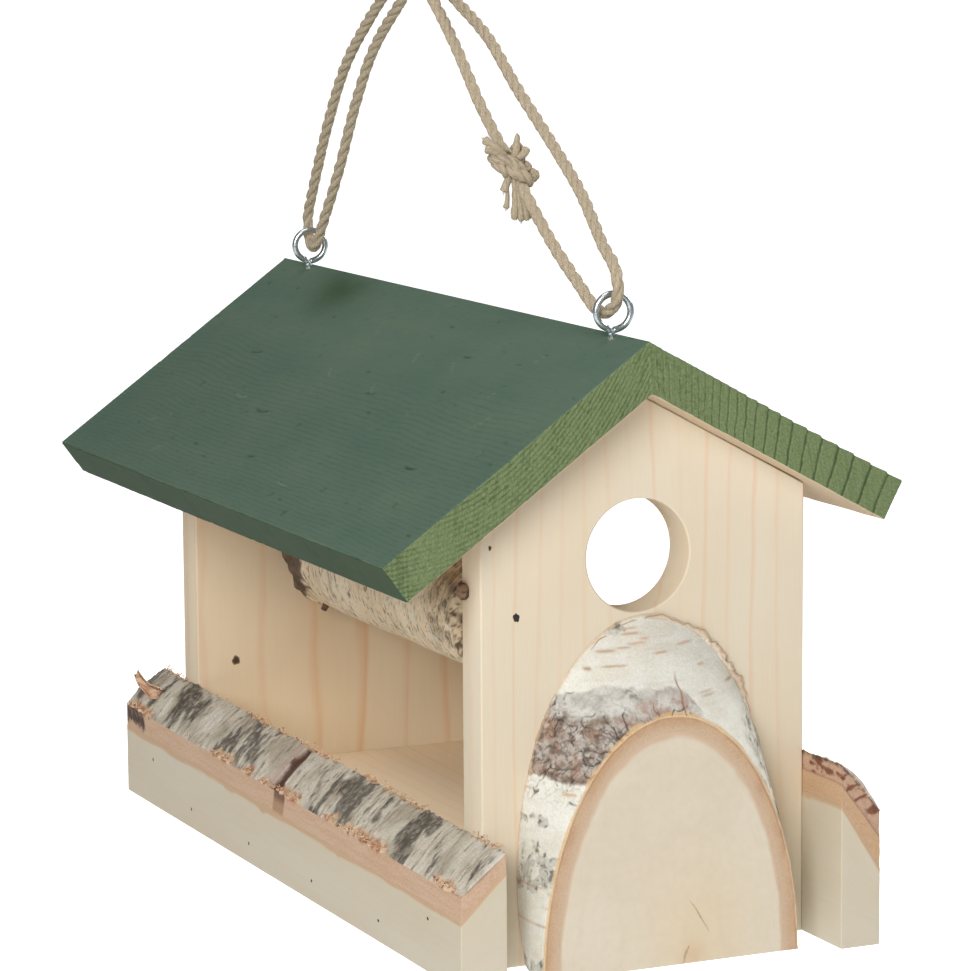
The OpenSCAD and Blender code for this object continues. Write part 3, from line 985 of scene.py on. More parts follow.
        # The inner bark runs into the wood with no hard line
        side = blend((0.62, 0.48, 0.33), side, smooth(layer, 0.0, 0.10))
        return {"tint": blend(side, col, up)}

    return slab(name, corners, (0.55, 0.6, 0.6), 0.4, mat, "house", relief, paint, (node,))


def rail_frays(name, x_edge, out_dir, y0, y1, heights, count, mat, seed, bark_seed):
    """Torn fibres along a cut edge of the bark, whose heights are given at its two ends."""
    rng = np.random.default_rng(seed)
    parts = Parts()
    for _ in range(count):
        y = rng.uniform(y0 + 1, y1 - 1)
        torn = torn_at(np.array([y]), bark_seed)[0]
        if rng.random() > 0.04 + 0.9 * torn:
            continue
        z = heights[0] + (heights[1] - heights[0]) * (y - y0) / (y1 - y0)
        root = np.array([x_edge - out_dir * rng.uniform(0.2, 1.6), y, z + rng.normal(0, 0.8)])
        d = np.array(
            [out_dir * abs(rng.normal(0.5, 0.6)), rng.normal(0, 0.9), rng.normal(0.15, 0.7)]
        )
        length = rng.uniform(0.6, 1.7)
        width = rng.uniform(0.2, 0.5)
        splinter(parts, root, d, length, width, 0.55, rng.random(), 3)
    p = np.concatenate(parts.p)
    t = np.concatenate(parts.marks["tint"])
    col = blend(
        blend((0.78, 0.60, 0.42), (0.68, 0.38, 0.20), smooth(t, 0.35, 0.8)),
        (0.42, 0.16, 0.09),
        smooth(t, 0.9, 0.96),
    )
    colour_mesh(name, p, parts.f, col, mat)


def bark_curl(name, mat):
    """The strip of bark that has peeled up at the back of the left rail."""
    s = np.linspace(0, 1, 26)
    path = xyz(-85 - 7.0 * s, 343 + 16 * s - 5 * s**2, 50 + 1.0 * s + 8.0 * s**2.4)
    w = 4.0 * (1 - 0.55 * s**2) * (1 + 0.12 * np.sin(9 * s))
    pts = []
    for k, q in enumerate(path):
        for j in np.linspace(-1, 1, 9):
            cup = 1.3 * j * j
            pts.append(
                q + np.array([0.35 * w[k] * j, -0.25 * w[k] * j, 0.75 * w[k] * j * 0.7 + cup])
            )
    top = np.array(pts)
    p, faces = sheet(top, 26, 9, [-0.25, -0.1, -1.0])
    p = p + 0.35 * xyz(fbm(p, 4, 3, 3), fbm(p, 4, 5, 3), fbm(p, 4, 7, 3))
    col = blend((0.68, 0.46, 0.30), (0.46, 0.24, 0.14), patches(-0.1, 0.4, p, (3, 3, 1.5), 91, 3))
    colour_mesh(name, p, faces, col, mat)


# ---- log slice ----

SLICE_A, SLICE_B, SLICE_T, SLICE_RISE, SLICE_BARK = 57.5, 102.5, 24.5, 37.0, 7.0


def slice_point(tau, s, inset):
    """Point of the slanting log: tau 0..1 from the right foot over the top to the left foot,
    s 0 at the front face and 1 at the gable, inset in mm from the outer surface."""
    a, b = SLICE_A - inset, SLICE_B - inset
    rise = SLICE_RISE * s
    start = -np.arcsin(np.clip(rise / b, 0, 1))
    t = start + tau * (math.pi - 2 * start)
    return xyz(a * np.cos(t), -SLICE_T * (1 - s), rise + b * np.sin(t))


def slice_wood(mat):
    """The slice's wood: its face, its curved side inside the bark, and its sawn foot."""
    rows = 200
    tau = np.linspace(0, 1, rows)
    inset = SLICE_BARK
    front = slice_point(tau, np.zeros(rows), inset)
    scale = np.concatenate([np.linspace(1, 0.9, 12), np.linspace(0.88, 0, 22)])
    pts = []
    base = np.array([0.0, -SLICE_T, 0.0])
    for f in scale:
        ring = base + (front - base) * max(f, 1e-3)
        ring[:, 1] = -SLICE_T
        pts.append(ring)
    for f in np.linspace(0, 1, 8)[1:]:
        pts.insert(0, slice_point(tau, np.full(rows, f), inset))
    p = np.concatenate(pts)
    faces = [list(f) for f in grid_faces(len(pts), rows)]
    # The sawn foot is a grid between the two ends of each ring behind the face
    ends = p.reshape(-1, rows, 3)[:8, [0, -1]]
    f = np.linspace(0, 1, 60)[None, :, None]
    foot = (ends[:, :1] * (1 - f) + ends[:, 1:] * f).reshape(-1, 3)
    faces += [list(g + len(p)) for g in grid_faces(8, 60)]
    sawn = np.concatenate([p[:, 1] < -SLICE_T + 0.5, np.full(len(foot), True)])
    p = np.concatenate([p, foot])
    faces.append(list(range(rows))[::-1])
    r = np.hypot(p[:, 0] / (SLICE_A - inset), p[:, 2] / (SLICE_B - inset))
    p[:, 1] += 0.12 * fbm(p, 30, 5, 2) * (p[:, 1] < -SLICE_T + 0.5) * (1 - smooth(r, 0.85, 0.96))
    wood_at = xyz(p[:, 0], p[:, 2], p[:, 1])
    col = blend((0.69, 0.60, 0.47), (0.71, 0.63, 0.50), patches(-0.3, 0.3, p, 30, 7, 3))
    heart = bump(p[:, 0], 12, 24) * bump(p[:, 2], 12, 30)
    col = blend(col, (0.72, 0.575, 0.375), 0.65 * heart)
    col = blend(col, (0.63, 0.43, 0.25), 0.55 * bump(p[:, 0], 9, 5) * bump(p[:, 2], 3, 6))
    rings = np.abs((r * 26 + 0.8 * fbm(p, 22, 9, 2)) % 1.0 - 0.5) * 2
    col = blend(col, (0.60, 0.47, 0.32), 0.10 * smooth(rings, 0.75, 0.95))
    col = blend(
        col,
        (0.62, 0.455, 0.315),
        np.where(sawn, smooth(r + 0.014 * fbm(p, 9, 11, 3), 0.966, 0.992), 1),
    )
    build(
        "slice_wood", p, faces, mat, "house", {"tint": col, "wood": wood_at}, ("log_slice",),
        sharp=True,
    )


def slice_bark(mat):
    """The bark arch: rings round the section, swept from the right foot to the left foot."""
    rows = 560
    tau = np.linspace(0, 1, rows)
    n_out, n_face, n_in, n_back = 84, 14, 4, 4
    # Once round the section: outside, back edge, inside, cut face
    s_loop = [np.linspace(0, 1, n_out), np.ones(n_back), np.linspace(1, 0, n_in), np.zeros(n_face)]
    s_loop = np.concatenate(s_loop)
    back_edge = np.linspace(0.8, SLICE_BARK - 0.8, n_back)
    cut_face = np.linspace(SLICE_BARK - 0.4, 0.5, n_face)
    i_loop = np.concatenate([np.zeros(n_out), back_edge, np.full(n_in, SLICE_BARK), cut_face])
    cols = len(s_loop)
    tt, ss = np.meshgrid(tau, s_loop, indexing="ij")
    _, ii = np.meshgrid(tau, i_loop, indexing="ij")
    p = slice_point(tt, ss, ii)
    ahead = slice_point(np.clip(tt + 1e-3, 0, 1.001), ss, ii) - p
    slant = slice_point(tt, ss + 1e-3, ii) - p
    out = np.cross(slant, ahead)
    out /= np.maximum(np.linalg.norm(out, axis=-1), 1e-9)[..., None]
    out = out * np.sign(np.sum(out * (p - [0, -12, 20]), -1))[..., None]
    is_out = np.zeros_like(ss)
    is_out[:, :n_out] = 1
    is_face = np.zeros_like(ss)
    is_face[:, -n_face - n_in:] = 1
    x = p.reshape(-1, 3)
    m = is_out.reshape(-1)
    face = is_face.reshape(-1)
    s_flat, i_flat = ss.reshape(-1), ii.reshape(-1)

    # Marks on the bark: a rough brown band, cracks round it, grey patches and short dashes
    along_log = s_flat * math.hypot(SLICE_RISE, SLICE_T)
    round_log = (tt.reshape(-1) - 0.5) * -250.0
    uv = xyz(round_log, along_log, 0)
    X, Z = x[:, 0], x[:, 2]
    wob = 3.2 * fbm(x, 10, 101, 5, 0.62)
    above = np.interp(
        X, [-60, -50, -42, -20, 0, 9, 14, 17], [100, 104, 111, 113, 113, 110, 104, 92]
    )
    below = np.interp(X, [-60, -50, -40, -33, -24, -10, 14], [82, 79, 77, 79, 87, 98, 100])
    band = (
        smooth(above - Z + wob, -0.7, 1.2) * smooth(Z - below + wob, -0.7, 1.2)
        * (1 - smooth(X, 13, 16))
    )
    core = smooth(above - Z + wob, 7.0, 12.0) + smooth(-X, 36, 46) * smooth(above - Z + wob, 2, 8)
    core = np.clip(core, 0, 1) * band
    ring = (
        band
        + smooth(Z - below + wob, -13, -8) * (1 - smooth(X, -22, -14)) * smooth(above - Z, 0, 3)
    )
    ring = np.clip(np.maximum(ring, smooth(above + 5 - Z + wob, -1, 2) * band), 0, 1)
    warp = xyz(fbm(x, 4, 130, 2), 0, fbm(x, 4, 132, 2)) * 1.6
    cells = fbm(x + warp, (6.4, 6.4, 5.0), 131, 2, 0.45)
    cracks = (1 - smooth(np.abs(cells), 0.010, 0.050)) * ring * patches(-0.35, 0.1, x, 9, 135, 2)
    fine = (1 - smooth(np.abs(fbm(x + warp, (3.2, 3.2, 2.6), 133, 2, 0.5)), 0.04, 0.10)) * ring
    lumps = fbm(x, 5, 137, 4, 0.6)

    def patch(cx, cz, w, h, seed, level=0.0):
        k = bump(X, cx, w, 4) * bump(Z - 0.2 * (X - cx), cz, h, 4)
        return (
            smooth(fbm(x, 5.5, seed, 4, 0.62) + 0.5 * k, 0.32 + level, 0.46 + level)
            * smooth(k, 0.02, 0.3)
        )

    grey = np.maximum(patch(-53, 43, 11, 10, 107), patch(-56, 2, 11, 7, 109))
    grey = np.maximum(grey, patch(-11, 136, 7, 3.5, 127, -0.05))
    grey = np.maximum(grey, patch(-54, 62, 4, 2.5, 129, 0.05))
    right = (
        patches(0.02, 0.16, x, (4, 5, 6), 113, 4, 0.6) * smooth(X, 30, 42)
        * (1 - smooth(Z, 96, 104))
    )
    rng = np.random.default_rng(5)
    dash = np.zeros(len(x))
    marks = [
        (-18, 121, 5), (-35, 125, 4.5), (-7, 129, 4), (-9, 134.5, 3.5), (2, 125, 3), (-56, 22, 6),
        (19, 109, 4), (51, 64, 3),
    ]
    marks += [
        (rng.uniform(-60, 58), rng.uniform(4, 136), rng.uniform(1.2, 4.2)) for _ in range(64)
    ]
    for cu, cv, lu in marks:
        k = bump(X, cu, lu, 4) * bump(Z - 0.05 * (X - cu), cv, rng.uniform(0.38, 0.7))
        dash = np.maximum(dash, k * rng.uniform(0.6, 1))
    dash = dash * (1 - band)
    col = blend(
        (0.80, 0.785, 0.70), (0.74, 0.71, 0.61), patches(-0.2, 0.4, x, (14, 14, 6), 139, 3)
    )
    col = blend(col, (0.79, 0.77, 0.71), patches(0.2, 0.4, x, (9, 9, 4), 141, 3) * 0.7)
    col = blend(col, (0.66, 0.62, 0.54), 0.45 * patches(0.15, 0.5, x, (12, 12, 1.4), 149, 3))
    pale_plate = blend((0.62, 0.60, 0.55), (0.44, 0.41, 0.37), smooth(lumps, -0.2, 0.4))
    dark = blend((0.46, 0.40, 0.345), (0.27, 0.19, 0.14), smooth(lumps, -0.25, 0.3))
    dark = blend(dark, (0.40, 0.22, 0.135), patches(0.22, 0.45, x, 7, 151, 3) * 0.6)
    dark = blend(dark, (0.12, 0.085, 0.065), patches(-0.05, 0.45, x, 2.0, 157, 3, 0.6) * 0.75)
    dark = blend(dark, (0.58, 0.54, 0.47), patches(0.25, 0.45, x, 3.0, 159, 3, 0.6) * 0.7)
    greyed = blend(
        (0.56, 0.55, 0.48),
        (0.17, 0.16, 0.135),
        patches(-0.05, 0.35, x, (2.4, 2.4, 1.6), 163, 4, 0.65),
    )
    col = blend(col, greyed, np.clip(0.95 * grey + 0.85 * right, 0, 1))
    col = blend(col, pale_plate, band * 0.85)
    col = blend(col, dark, core * 0.95)
    col = blend(
        col, (0.06, 0.045, 0.038), np.clip(cracks * 0.8 + fine * (0.2 + 0.34 * core), 0, 0.8)
    )
    low = (
        smooth(i_flat, -1, 0) * smooth(9 - along_log + 1.5 * wob, -2, 3)
        * smooth(X, -34, -20) * band
    )
    col = blend(col, (0.42, 0.20, 0.13), low * 0.4 * smooth(lumps, -0.2, 0.2))
    col = blend(
        col,
        blend((0.36, 0.20, 0.11), (0.60, 0.30, 0.14), patches(-0.2, 0.3, x, 9, 165, 2)),
        dash * 0.85,
    )
    crack = bump(X, 6.2 + 0.4 * np.sin(Z * 0.7), 0.4)
    crack = crack * smooth(Z, 99, 103) * (1 - smooth(Z, 114, 119))
    col = blend(col, (0.36, 0.15, 0.08), crack * 0.85 * m)
    edge_front = smooth(1.6 + 1.6 * fbm(x, 7, 167, 3) - along_log, 0.0, 1.2) * m
    col = blend(col, (0.70, 0.47, 0.24), edge_front * 0.85)
    edge_back = smooth(along_log - 42.4 + 1.3 * fbm(x, 6, 173, 3), 0.0, 1.2) * m
    col = blend(col, (0.62, 0.42, 0.24), edge_back * 0.6)
    # The cut face: inner bark that fades into the wood, with a thin pale rim
    inner = blend(
        (0.61, 0.415, 0.265), (0.555, 0.355, 0.215), patches(-0.3, 0.4, x, (9, 4, 9), 179, 3)
    )
    inner = blend(inner, (0.62, 0.455, 0.315), smooth(i_flat, 2.5, 6.3))
    streak = 1 - smooth(np.abs(i_flat - 1.3 + 0.5 * fbm(x, 6, 181, 3)), 0.15, 0.55)
    inner = blend(
        inner, (0.44, 0.235, 0.13), streak * (0.35 + 0.4 * patches(0, 0.3, x, 15, 183, 2))
    )
    inner = blend(
        inner, (0.80, 0.64, 0.38), smooth(1.0 + 0.5 * fbm(x, 5, 191, 2) - i_flat, 0.0, 0.5) * 0.9
    )
    col = np.where(face[:, None] > 0, inner, col)

    relief = 0.2 * fbm(uv, (7, 2, 7), 197, 3) + core * 1.3 * lumps - 0.7 * cracks + band * 0.35
    relief = relief + grey * 0.8 * fbm(x, 3, 199, 3) + right * 0.8 * fbm(x, 3, 211, 3)
    relief = m * (relief + 0.25 * dash - crack * 0.5 - edge_front * 0.35)
    foot = smooth(np.minimum(tt.reshape(-1), 1 - tt.reshape(-1)), 0.0, 0.006)
    x = x + (relief * foot)[:, None] * out.reshape(-1, 3)
    x[:, 1] += (
        face * 0.25 * fbm(x, 5, 223, 3) * (1 - smooth(i_flat, SLICE_BARK - 2.5, SLICE_BARK - 0.5))
    )
    x[:, 2] = np.maximum(x[:, 2], 0)
    x[:, 1] = np.minimum(x[:, 1], -0.02)
    faces = [list(f) for f in grid_faces(rows, cols, closed=True)]
    faces.append(list(range(cols)))
    faces.append([(rows - 1) * cols + k for k in range(cols)][::-1])
    colour_mesh("slice_bark", x, faces, col, mat, ("log_slice_bark",), sharp=True)


def bark_flaps(mat):
    """Papery layers that lift off the back edge of the slice's bark, near its top."""
    parts = Parts()
    rng = np.random.default_rng(21)
    tints = []
    # Each flap's place round the arch, its length and how far it stands off
    spots = (
        (0.475, 15, 2.6), (0.44, 10, 1.6), (0.395, 17, 3.4), (0.36, 13, 5.0), (0.335, 16, 4.0),
        (0.295, 12, 5.2), (0.268, 9, 2.6), (0.225, 7, 1.2), (0.17, 9, 1.6), (0.125, 6, 0.9),
        (0.54, 12, 1.2), (0.60, 9, 0.8),
    )
    for k, (tau, length, wide) in enumerate(spots):
        n, across = 34, 5
        f = np.linspace(0, 1, n)
        line = xyz(f * length, 9 * k, 0)
        torn = noise(line, 2.6, 61) + 0.6 * noise(line, 1.1, 63)
        shape = np.clip(
            np.sin(math.pi * np.clip(f, 0.03, 0.97)) ** 0.4 * (0.72 + 0.55 * torn), 0.08, 1.2
        )
        pts = []
        for a in range(n):
            place = tau + (f[a] - 0.5) * length / 262.0
            base = slice_point(place, 0.95, 0.3)
            ahead = unit(slice_point(place + 1e-3, 0.95, 0.3) - base)
            out = np.array([ahead[2], 0, -ahead[0]])
            if out @ np.array([base[0], 0, base[2]]) < 0:
                out = -out
            for b in range(across):
                g = b / (across - 1)
                bow = 0.35 * math.sin(7 * f[a] + 3 * k)
                pts.append(
                    base + wide * shape[a] * g * out * 0.9
                    + np.array([0, -0.9 * g * (1 + bow) + 0.6 * g * g, 0])
                )
        top = np.array(pts)
        p, faces = sheet(top, n, across, [0, 0.3, 0])
        p[:, 1] = np.minimum(p[:, 1], -0.1)
        parts.add(p, faces)
        g = np.tile(np.tile(np.linspace(0, 1, across), n), 2)
        browner = np.clip(rng.random() * 0.8 * (1 - g) + smooth(g, 0.55, 0.95), 0, 1)
        tints.append(blend((0.80, 0.74, 0.62), (0.52, 0.31, 0.16), browner))
    p = np.concatenate(parts.p)
    colour_mesh("slice_bark_flaps", p, parts.f, np.concatenate(tints), mat)


def face_crack(name, points, width, mat):
    """A thin dark crack in the slice's face."""
    path, s = even(spline([[x, 0, z] for x, z in points], 8), 0.4)
    w = width * np.sin(math.pi * np.clip(s / s[-1], 0.02, 0.98)) ** 0.7 * (1 + 0.3 * np.sin(3 * s))
    d = np.gradient(path, axis=0)
    d /= np.linalg.norm(d, axis=1)[:, None]
    side = xyz(d[:, 2], 0, -d[:, 0])
    y = np.array([0, -SLICE_T - 0.16, 0])
    p = np.concatenate(
        [path + y + side * w[:, None], path + y + [0, 0.1, 0], path + y - side * w[:, None]]
    )
    n = len(path)
    faces = []
    for k in range(n - 1):
        faces += [[k, k + 1, n + k + 1, n + k], [n + k, n + k + 1, 2 * n + k + 1, 2 * n + k]]
    tint = np.repeat([[0.57, 0.42, 0.26]], len(p), 0)
    colour_mesh(name, p, faces, tint, mat)


# ---- branch ----


def branch(mat):
    """The perch branch between the gables, with its knobs and flecks."""
    middle_line = [[-54, T, 139.5], [-26, 170, 129.0], [4.5, BACK, 117.0]]
    path, at = even(spline(middle_line, 20), 1.1)
    f = at / at[-1]
    sides = 170
    a = turn_angles(sides)
    ff, aa = np.meshgrid(f, a, indexing="ij")
    r = 24 + 5 * f
    ring = xyz(np.cos(aa), 0, np.sin(aa))
    x = path[:, None] + r[:, None, None] * ring
    flat = x.reshape(-1, 3)
    q = xyz(26 * np.cos(aa), 300 * ff, 26 * np.sin(aa)).reshape(-1, 3)
    big = fbm(q, (34, 60, 34), 301, 3)
    fine = fbm(q * [0.45, 1, 0.45], 2.4, 307, 4, 0.6)
    d = 0.9 * big + 0.28 * fine

    def lump(fa, an, wide, long, high):
        """A swelling at a part fa of the length, an degrees round the branch."""
        da = np.angle(np.exp(1j * (aa - math.radians(an))))
        return high * bump(da, 0, wide) * bump(ff, fa, long / 300)

    lumps = (
        (0.005, 150, 0.30, 12, 2.2), (0.945, 188, 0.28, 10, 5.4), (0.985, 174, 0.22, 7, 4.8),
        (0.96, 208, 0.13, 5, 3.4), (0.99, 222, 0.3, 6, 2.2), (0.45, 300, 0.3, 9, 1.5),
    )
    knobs = sum(lump(*k) for k in lumps).reshape(-1)
    d = d + knobs * (1 + 0.3 * fbm(q, 4, 311, 3))
    F = ff.reshape(-1)
    turned = np.angle(np.exp(1j * (aa - math.radians(192)))).reshape(-1)
    lead = 0.075 * bump(turned, 0, 0.45, 4)
    far = smooth(F + lead + 0.04 * fbm(q, 9, 312, 3), 0.965, 0.99)
    near = 1 - smooth(F + 0.08 * fbm(q, 12, 314, 3), 0.06, 0.16)
    d = d + (far * 1.0 + near * 0.7) * fbm(q, 4.5, 313, 4, 0.6)
    flat = flat + d[:, None] * ring.reshape(-1, 3)
    flat[:, 1] = np.clip(flat[:, 1], T, BACK)
    base = blend((0.84, 0.68, 0.47), (0.92, 0.80, 0.61), smooth(big, -0.3, 0.4))
    base = blend(base, (0.80, 0.73, 0.59), 0.7 * patches(0.15, 0.4, q, (8, 14, 8), 316, 3))
    strips = fbm(q * [0.30, 1, 0.30], 2.6, 317, 4, 0.6)
    base = blend(base, (0.56, 0.46, 0.26), smooth(strips, 0.0, 0.4) * 0.5)
    flecks = patches(0.26, 0.40, q * [0.7, 1.4, 0.7], 2.3, 319, 3, 0.6)
    base = blend(base, (0.135, 0.10, 0.06), flecks * 0.8)
    mottled = patches(-0.15, 0.25, q, 3.2, 331, 4, 0.6)
    worn = patches(-0.12, 0.12, q, (6, 8, 6), 333, 4, 0.6)
    speck = patches(-0.12, 0.2, q, 1.7, 335, 3, 0.6)
    near_bark_and_shade = blend((0.56, 0.45, 0.30), (0.10, 0.07, 0.045), speck)
    # The top of the near end gets a darker red-brown: partly the bark's own colour, partly painted
    # shade from the roof above it. The dark specks are the bark's own.
    near_bark_and_shade = blend(
        near_bark_and_shade, (0.30, 0.13, 0.075), smooth(np.sin(aa.reshape(-1)), 0.35, 0.8) * 0.7
    )
    base = blend(base, near_bark_and_shade, near * worn * 0.85)
    base = blend(
        base,
        blend((0.13, 0.07, 0.045), (0.025, 0.018, 0.014), mottled),
        np.clip(far * worn + smooth(knobs, 1.0, 2.6), 0, 1) * 0.9,
    )
    # The near end, part of which shows beside the gable, is a grid of rings with bark colours
    inward = [
        path[0] + (flat[:sides] - path[0]) * k for k in (0.5, 0.7, 0.78, 0.84, 0.88, 0.92, 0.96)
    ]
    inward = np.concatenate(inward)
    specks = patches(-0.15, 0.2, inward, 2.2, 351, 4, 0.6)
    flat = np.concatenate([inward, flat])
    base = np.concatenate([blend((0.60, 0.48, 0.33), (0.11, 0.075, 0.05), specks), base])
    q = np.concatenate([inward, q])
    faces = [list(g) for g in grid_faces(len(flat) // sides, sides, closed=True)]
    faces.append(list(range(sides)))
    faces.append([len(flat) - sides + k for k in range(sides)][::-1])
    build("branch", flat, faces, mat, "house", {"tint": base, "wood": q}, ("perch_branch",))


def branch_stub(mat):
    """The broken twig under the branch's far end."""
    path, s = even(
        spline([[-13, 303, 99], [-15, 301.5, 96], [-16.5, 300.5, 94], [-17.5, 300, 92.8]], 8), 0.6
    )
    rad = 2.3 - 0.9 * s / s[-1]
    p, faces = tube(path, rad, 14)
    p = p + 0.25 * xyz(fbm(p, 2, 5, 2), fbm(p, 2, 6, 2), fbm(p, 2, 7, 2))
    tint = blend((0.07, 0.042, 0.032), (0.19, 0.11, 0.07), patches(-0.2, 0.4, p, 3, 9, 2))
    colour_mesh("branch_stub", p, faces, tint, mat)


def branch_burl(mat):
    """The burl at the near end, which bulges round the gable's edge."""
    u, v = np.meshgrid(turn_angles(48), np.linspace(0.02, math.pi - 0.02, 32), indexing="xy")
    ball = xyz(np.sin(v) * np.cos(u), np.sin(v) * np.sin(u), np.cos(v)).reshape(-1, 3)
    p = np.array([-73.6, 14.5, 152.3]) + ball * [2.5, 4.4, 3.3]
    p = p + ball * (0.9 * fbm(p, 6, 341, 4, 0.6) + 0.6 * fbm(p, 2.4, 343, 3, 0.6))[:, None]
    p[:, 0] = np.where(p[:, 1] < T + 0.3, np.minimum(p[:, 0], -HALF - 0.1), p[:, 0])
    mottled = patches(-0.1, 0.3, p, 2.6, 345, 4, 0.6)
    tint = blend((0.30, 0.19, 0.12), (0.09, 0.055, 0.037), mottled)
    colour_mesh("branch_burl", p, grid_faces(32, 48, closed=True), tint, mat)


# ---- screw eyes and nails ----


def screw_eye(name, y, mat, node):
    """One bent wire: up from the screw, round to the left, over, and down to the shank."""
    ring_radius, wire_thick = 7.15, 2.7
    pts = [[0, 212 - EYE_Z], [0, -16.0], [-0.2, -10.6]]
    for deg in np.arange(-108, -453, -8):
        a = math.radians(deg)
        k = 1.0 + 0.02 * smooth(-deg, 420, 452)
        pts.append([ring_radius * k * math.cos(a), ring_radius * k * math.sin(a)])
    wire, s = even(spline([[p[0], 0, p[1]] for p in pts], 6), 0.35)
    turn = math.radians(-10)
    out = wire[:, 2] > -8.5
    x = np.where(out, wire[:, 0] * math.cos(turn), wire[:, 0])
    yy = np.where(out, wire[:, 0] * math.sin(turn), 0)
    end = smooth(s, s[-1] - 2.2, s[-1])
    yy = yy - end * 0.4
    wire = xyz(EYE_X + x, y + yy, EYE_Z + wire[:, 2])
    r = np.full(len(wire), wire_thick / 2)
    deep = wire[:, 2] < 246
    # The screw's thread, on the straight part that is in the wood
    thread = 0.28 * np.maximum(0, np.sin(s * 2 * math.pi / 1.9)) - 0.25
    r = r + np.where(deep & (s < 36), thread, 0)
    r[-1] = wire_thick / 2 * 0.86
    p, f = tube(wire, r, 20, (0, 1, 0))
    build(name, p, f, mat, "house", {}, (node,))


def burr(name, y, mat):
    """Lifted wood fibres where the screw eye enters the ridge."""
    parts = Parts()
    rng = np.random.default_rng(int(y) + 3)
    for a in np.linspace(0, 2 * math.pi, 17)[:-1]:
        root = np.array(
            [
                EYE_X + 1.35 * math.cos(a),
                y + 1.35 * math.sin(a),
                250.4 - 0.7 * (1.35 * math.cos(a) < 0),
            ]
        )
        d = np.array([0.9 * math.cos(a), 0.9 * math.sin(a), 0.55])
        splinter(
            parts, root, d, rng.uniform(0.6, 1.5), rng.uniform(0.18, 0.34), 0.3, rng.random(), 2
        )
    p = np.concatenate(parts.p)
    t = np.concatenate(parts.marks["tint"])
    col = blend((0.70, 0.58, 0.42), (0.42, 0.42, 0.28), t)
    colour_mesh(name, p, parts.f, col, mat)


def heads(name, places, radius, mat, node, tall=1.0, cross=False):
    """Flush heads of nails or screws, each given by its centre and the way it faces."""
    parts = Parts()
    a = turn_angles(32)
    for k, (centre, facing) in enumerate(places):
        facing = np.array(facing, float)
        side = np.cross(facing, (0, 0, 1))
        rings = []
        for f in (*np.linspace(0, 0.9, 13), 0.97, 1.0):
            wob = 1 + (0 if cross else 0.14 * np.sin(2 * a + 1 + k) + 0.10 * np.sin(5 * a))
            across, up = f * radius * wob * np.cos(a), f * radius * tall * wob * np.sin(a)
            lift = np.full(32, 0.06 - 0.05 * f**2 - 0.1 * (f > 0.95) - 1.2 * (f == 1.0))
            if cross:
                slot = 1 - smooth(np.minimum(np.abs(across), np.abs(up)), 0.30, 0.55)
                lift = lift - 0.9 * slot * (1 - smooth(f, 0.55, 0.7))
            ring = (
                np.array(centre) + across[:, None] * side + up[:, None] * [0, 0, 1]
                + lift[:, None] * facing
            )
            rings.append(ring)
        parts.add(
            np.concatenate(rings), [list(q[::-1]) for q in grid_faces(len(rings), 32, closed=True)]
        )
    return parts.make(name, mat, "house", replaces=(node,))


# ---- rope ----

# The middle of the loop, in mm of the row frame, from the knot round both eyes and back
ROUTE = [
    [-4.5, -120, -85.5], [-4, -148, -106.5], [-2.5, -170, -121.5], [-2, -182, -129],
    [-1.5, -189.5, -130.8], [-1.5, -196, -129.4], [-1.5, -202, -124.8], [-2, -204, -117.5],
    [-1.5, -199, -110.5], [-0.5, -187, -103.5], [3, -160, -85], [5, -127, -66],
    [5, -95, -46], [5, -66, -26], [4, -35, -11], [3.5, -22, -4],
    [3, -10, 2], [3, 0, 2.5], [3, 10, -3.5], [3, 21, -12.5],
    [3, 53, -35], [3, 75, -60.5], [2.5, 95.5, -93], [1, 114, -121],
    [0.5, 118.5, -128], [0.5, 123, -130.5], [1, 128, -129], [1.5, 131.5, -124.5],
    [1, 130.5, -116.5], [0, 123, -106], [-2, 98.5, -73.5], [-3, 73, -44],
    [-3, 44.5, -22], [-3, 15, -3.5], [-3, 3, 2.5], [-3, -7, 1.5],
    [-4, -29, -11], [-5, -55, -30], [-5, -80.5, -54], [-4.5, -104, -73],
]


def lay_rope(parts, path, radius, pitch, step, fuzz, seed):
    """Three uneven strands twisted round the path. fuzz is the loose fibres per mm."""
    path, s = even(path, step)
    n, b, t = frames(path)
    off, rad = radius * 0.43, radius * 0.585
    rng = np.random.default_rng(seed)
    for k in range(3):
        ang = 2 * math.pi * (s / pitch + k / 3) + 0.18 * noise(xyz(s, 0, 0), 23, seed + k)
        swell = 1 + 0.05 * noise(xyz(s, k, 0), 9, seed + 7)
        line = path + off * (np.cos(ang)[:, None] * n + np.sin(ang)[:, None] * b)
        sides = 12
        a = turn_angles(sides)
        groove = 1 + 0.045 * np.cos(5 * a[None, :] + s[:, None] * 1.6)
        p, f = tube(line, rad * swell[:, None] * groove, sides, n[0])
        yarn = xyz(
            np.repeat(s, sides),
            np.tile(a * rad, len(s)) + np.repeat(s, sides) * 0.45,
            7.0 * k + seed,
        )
        parts.add(p, f, yarn=yarn, fibre=0.0)
    for _ in range(int(fuzz * s[-1])):
        i = rng.integers(2, len(path) - 2)
        a = rng.uniform(0, 2 * math.pi)
        u = math.cos(a) * n[i] + math.sin(a) * b[i]
        root = path[i] + radius * 0.9 * u
        d = u * rng.uniform(0.2, 0.9) + t[i] * rng.choice([-1, 1]) * rng.uniform(0.3, 1.1)
        d = unit(d + rng.normal(0, 0.3, 3))
        length = rng.uniform(0.7, 2.2)
        side = unit(np.cross(d, rng.normal(size=3)))
        yarn = [[s[i], a, 3.0]]
        fibre(parts, root, d, side, length, 0.075, 0.4, sides=3, taper=0.6, yarn=yarn, fibre=1.0)
    return path


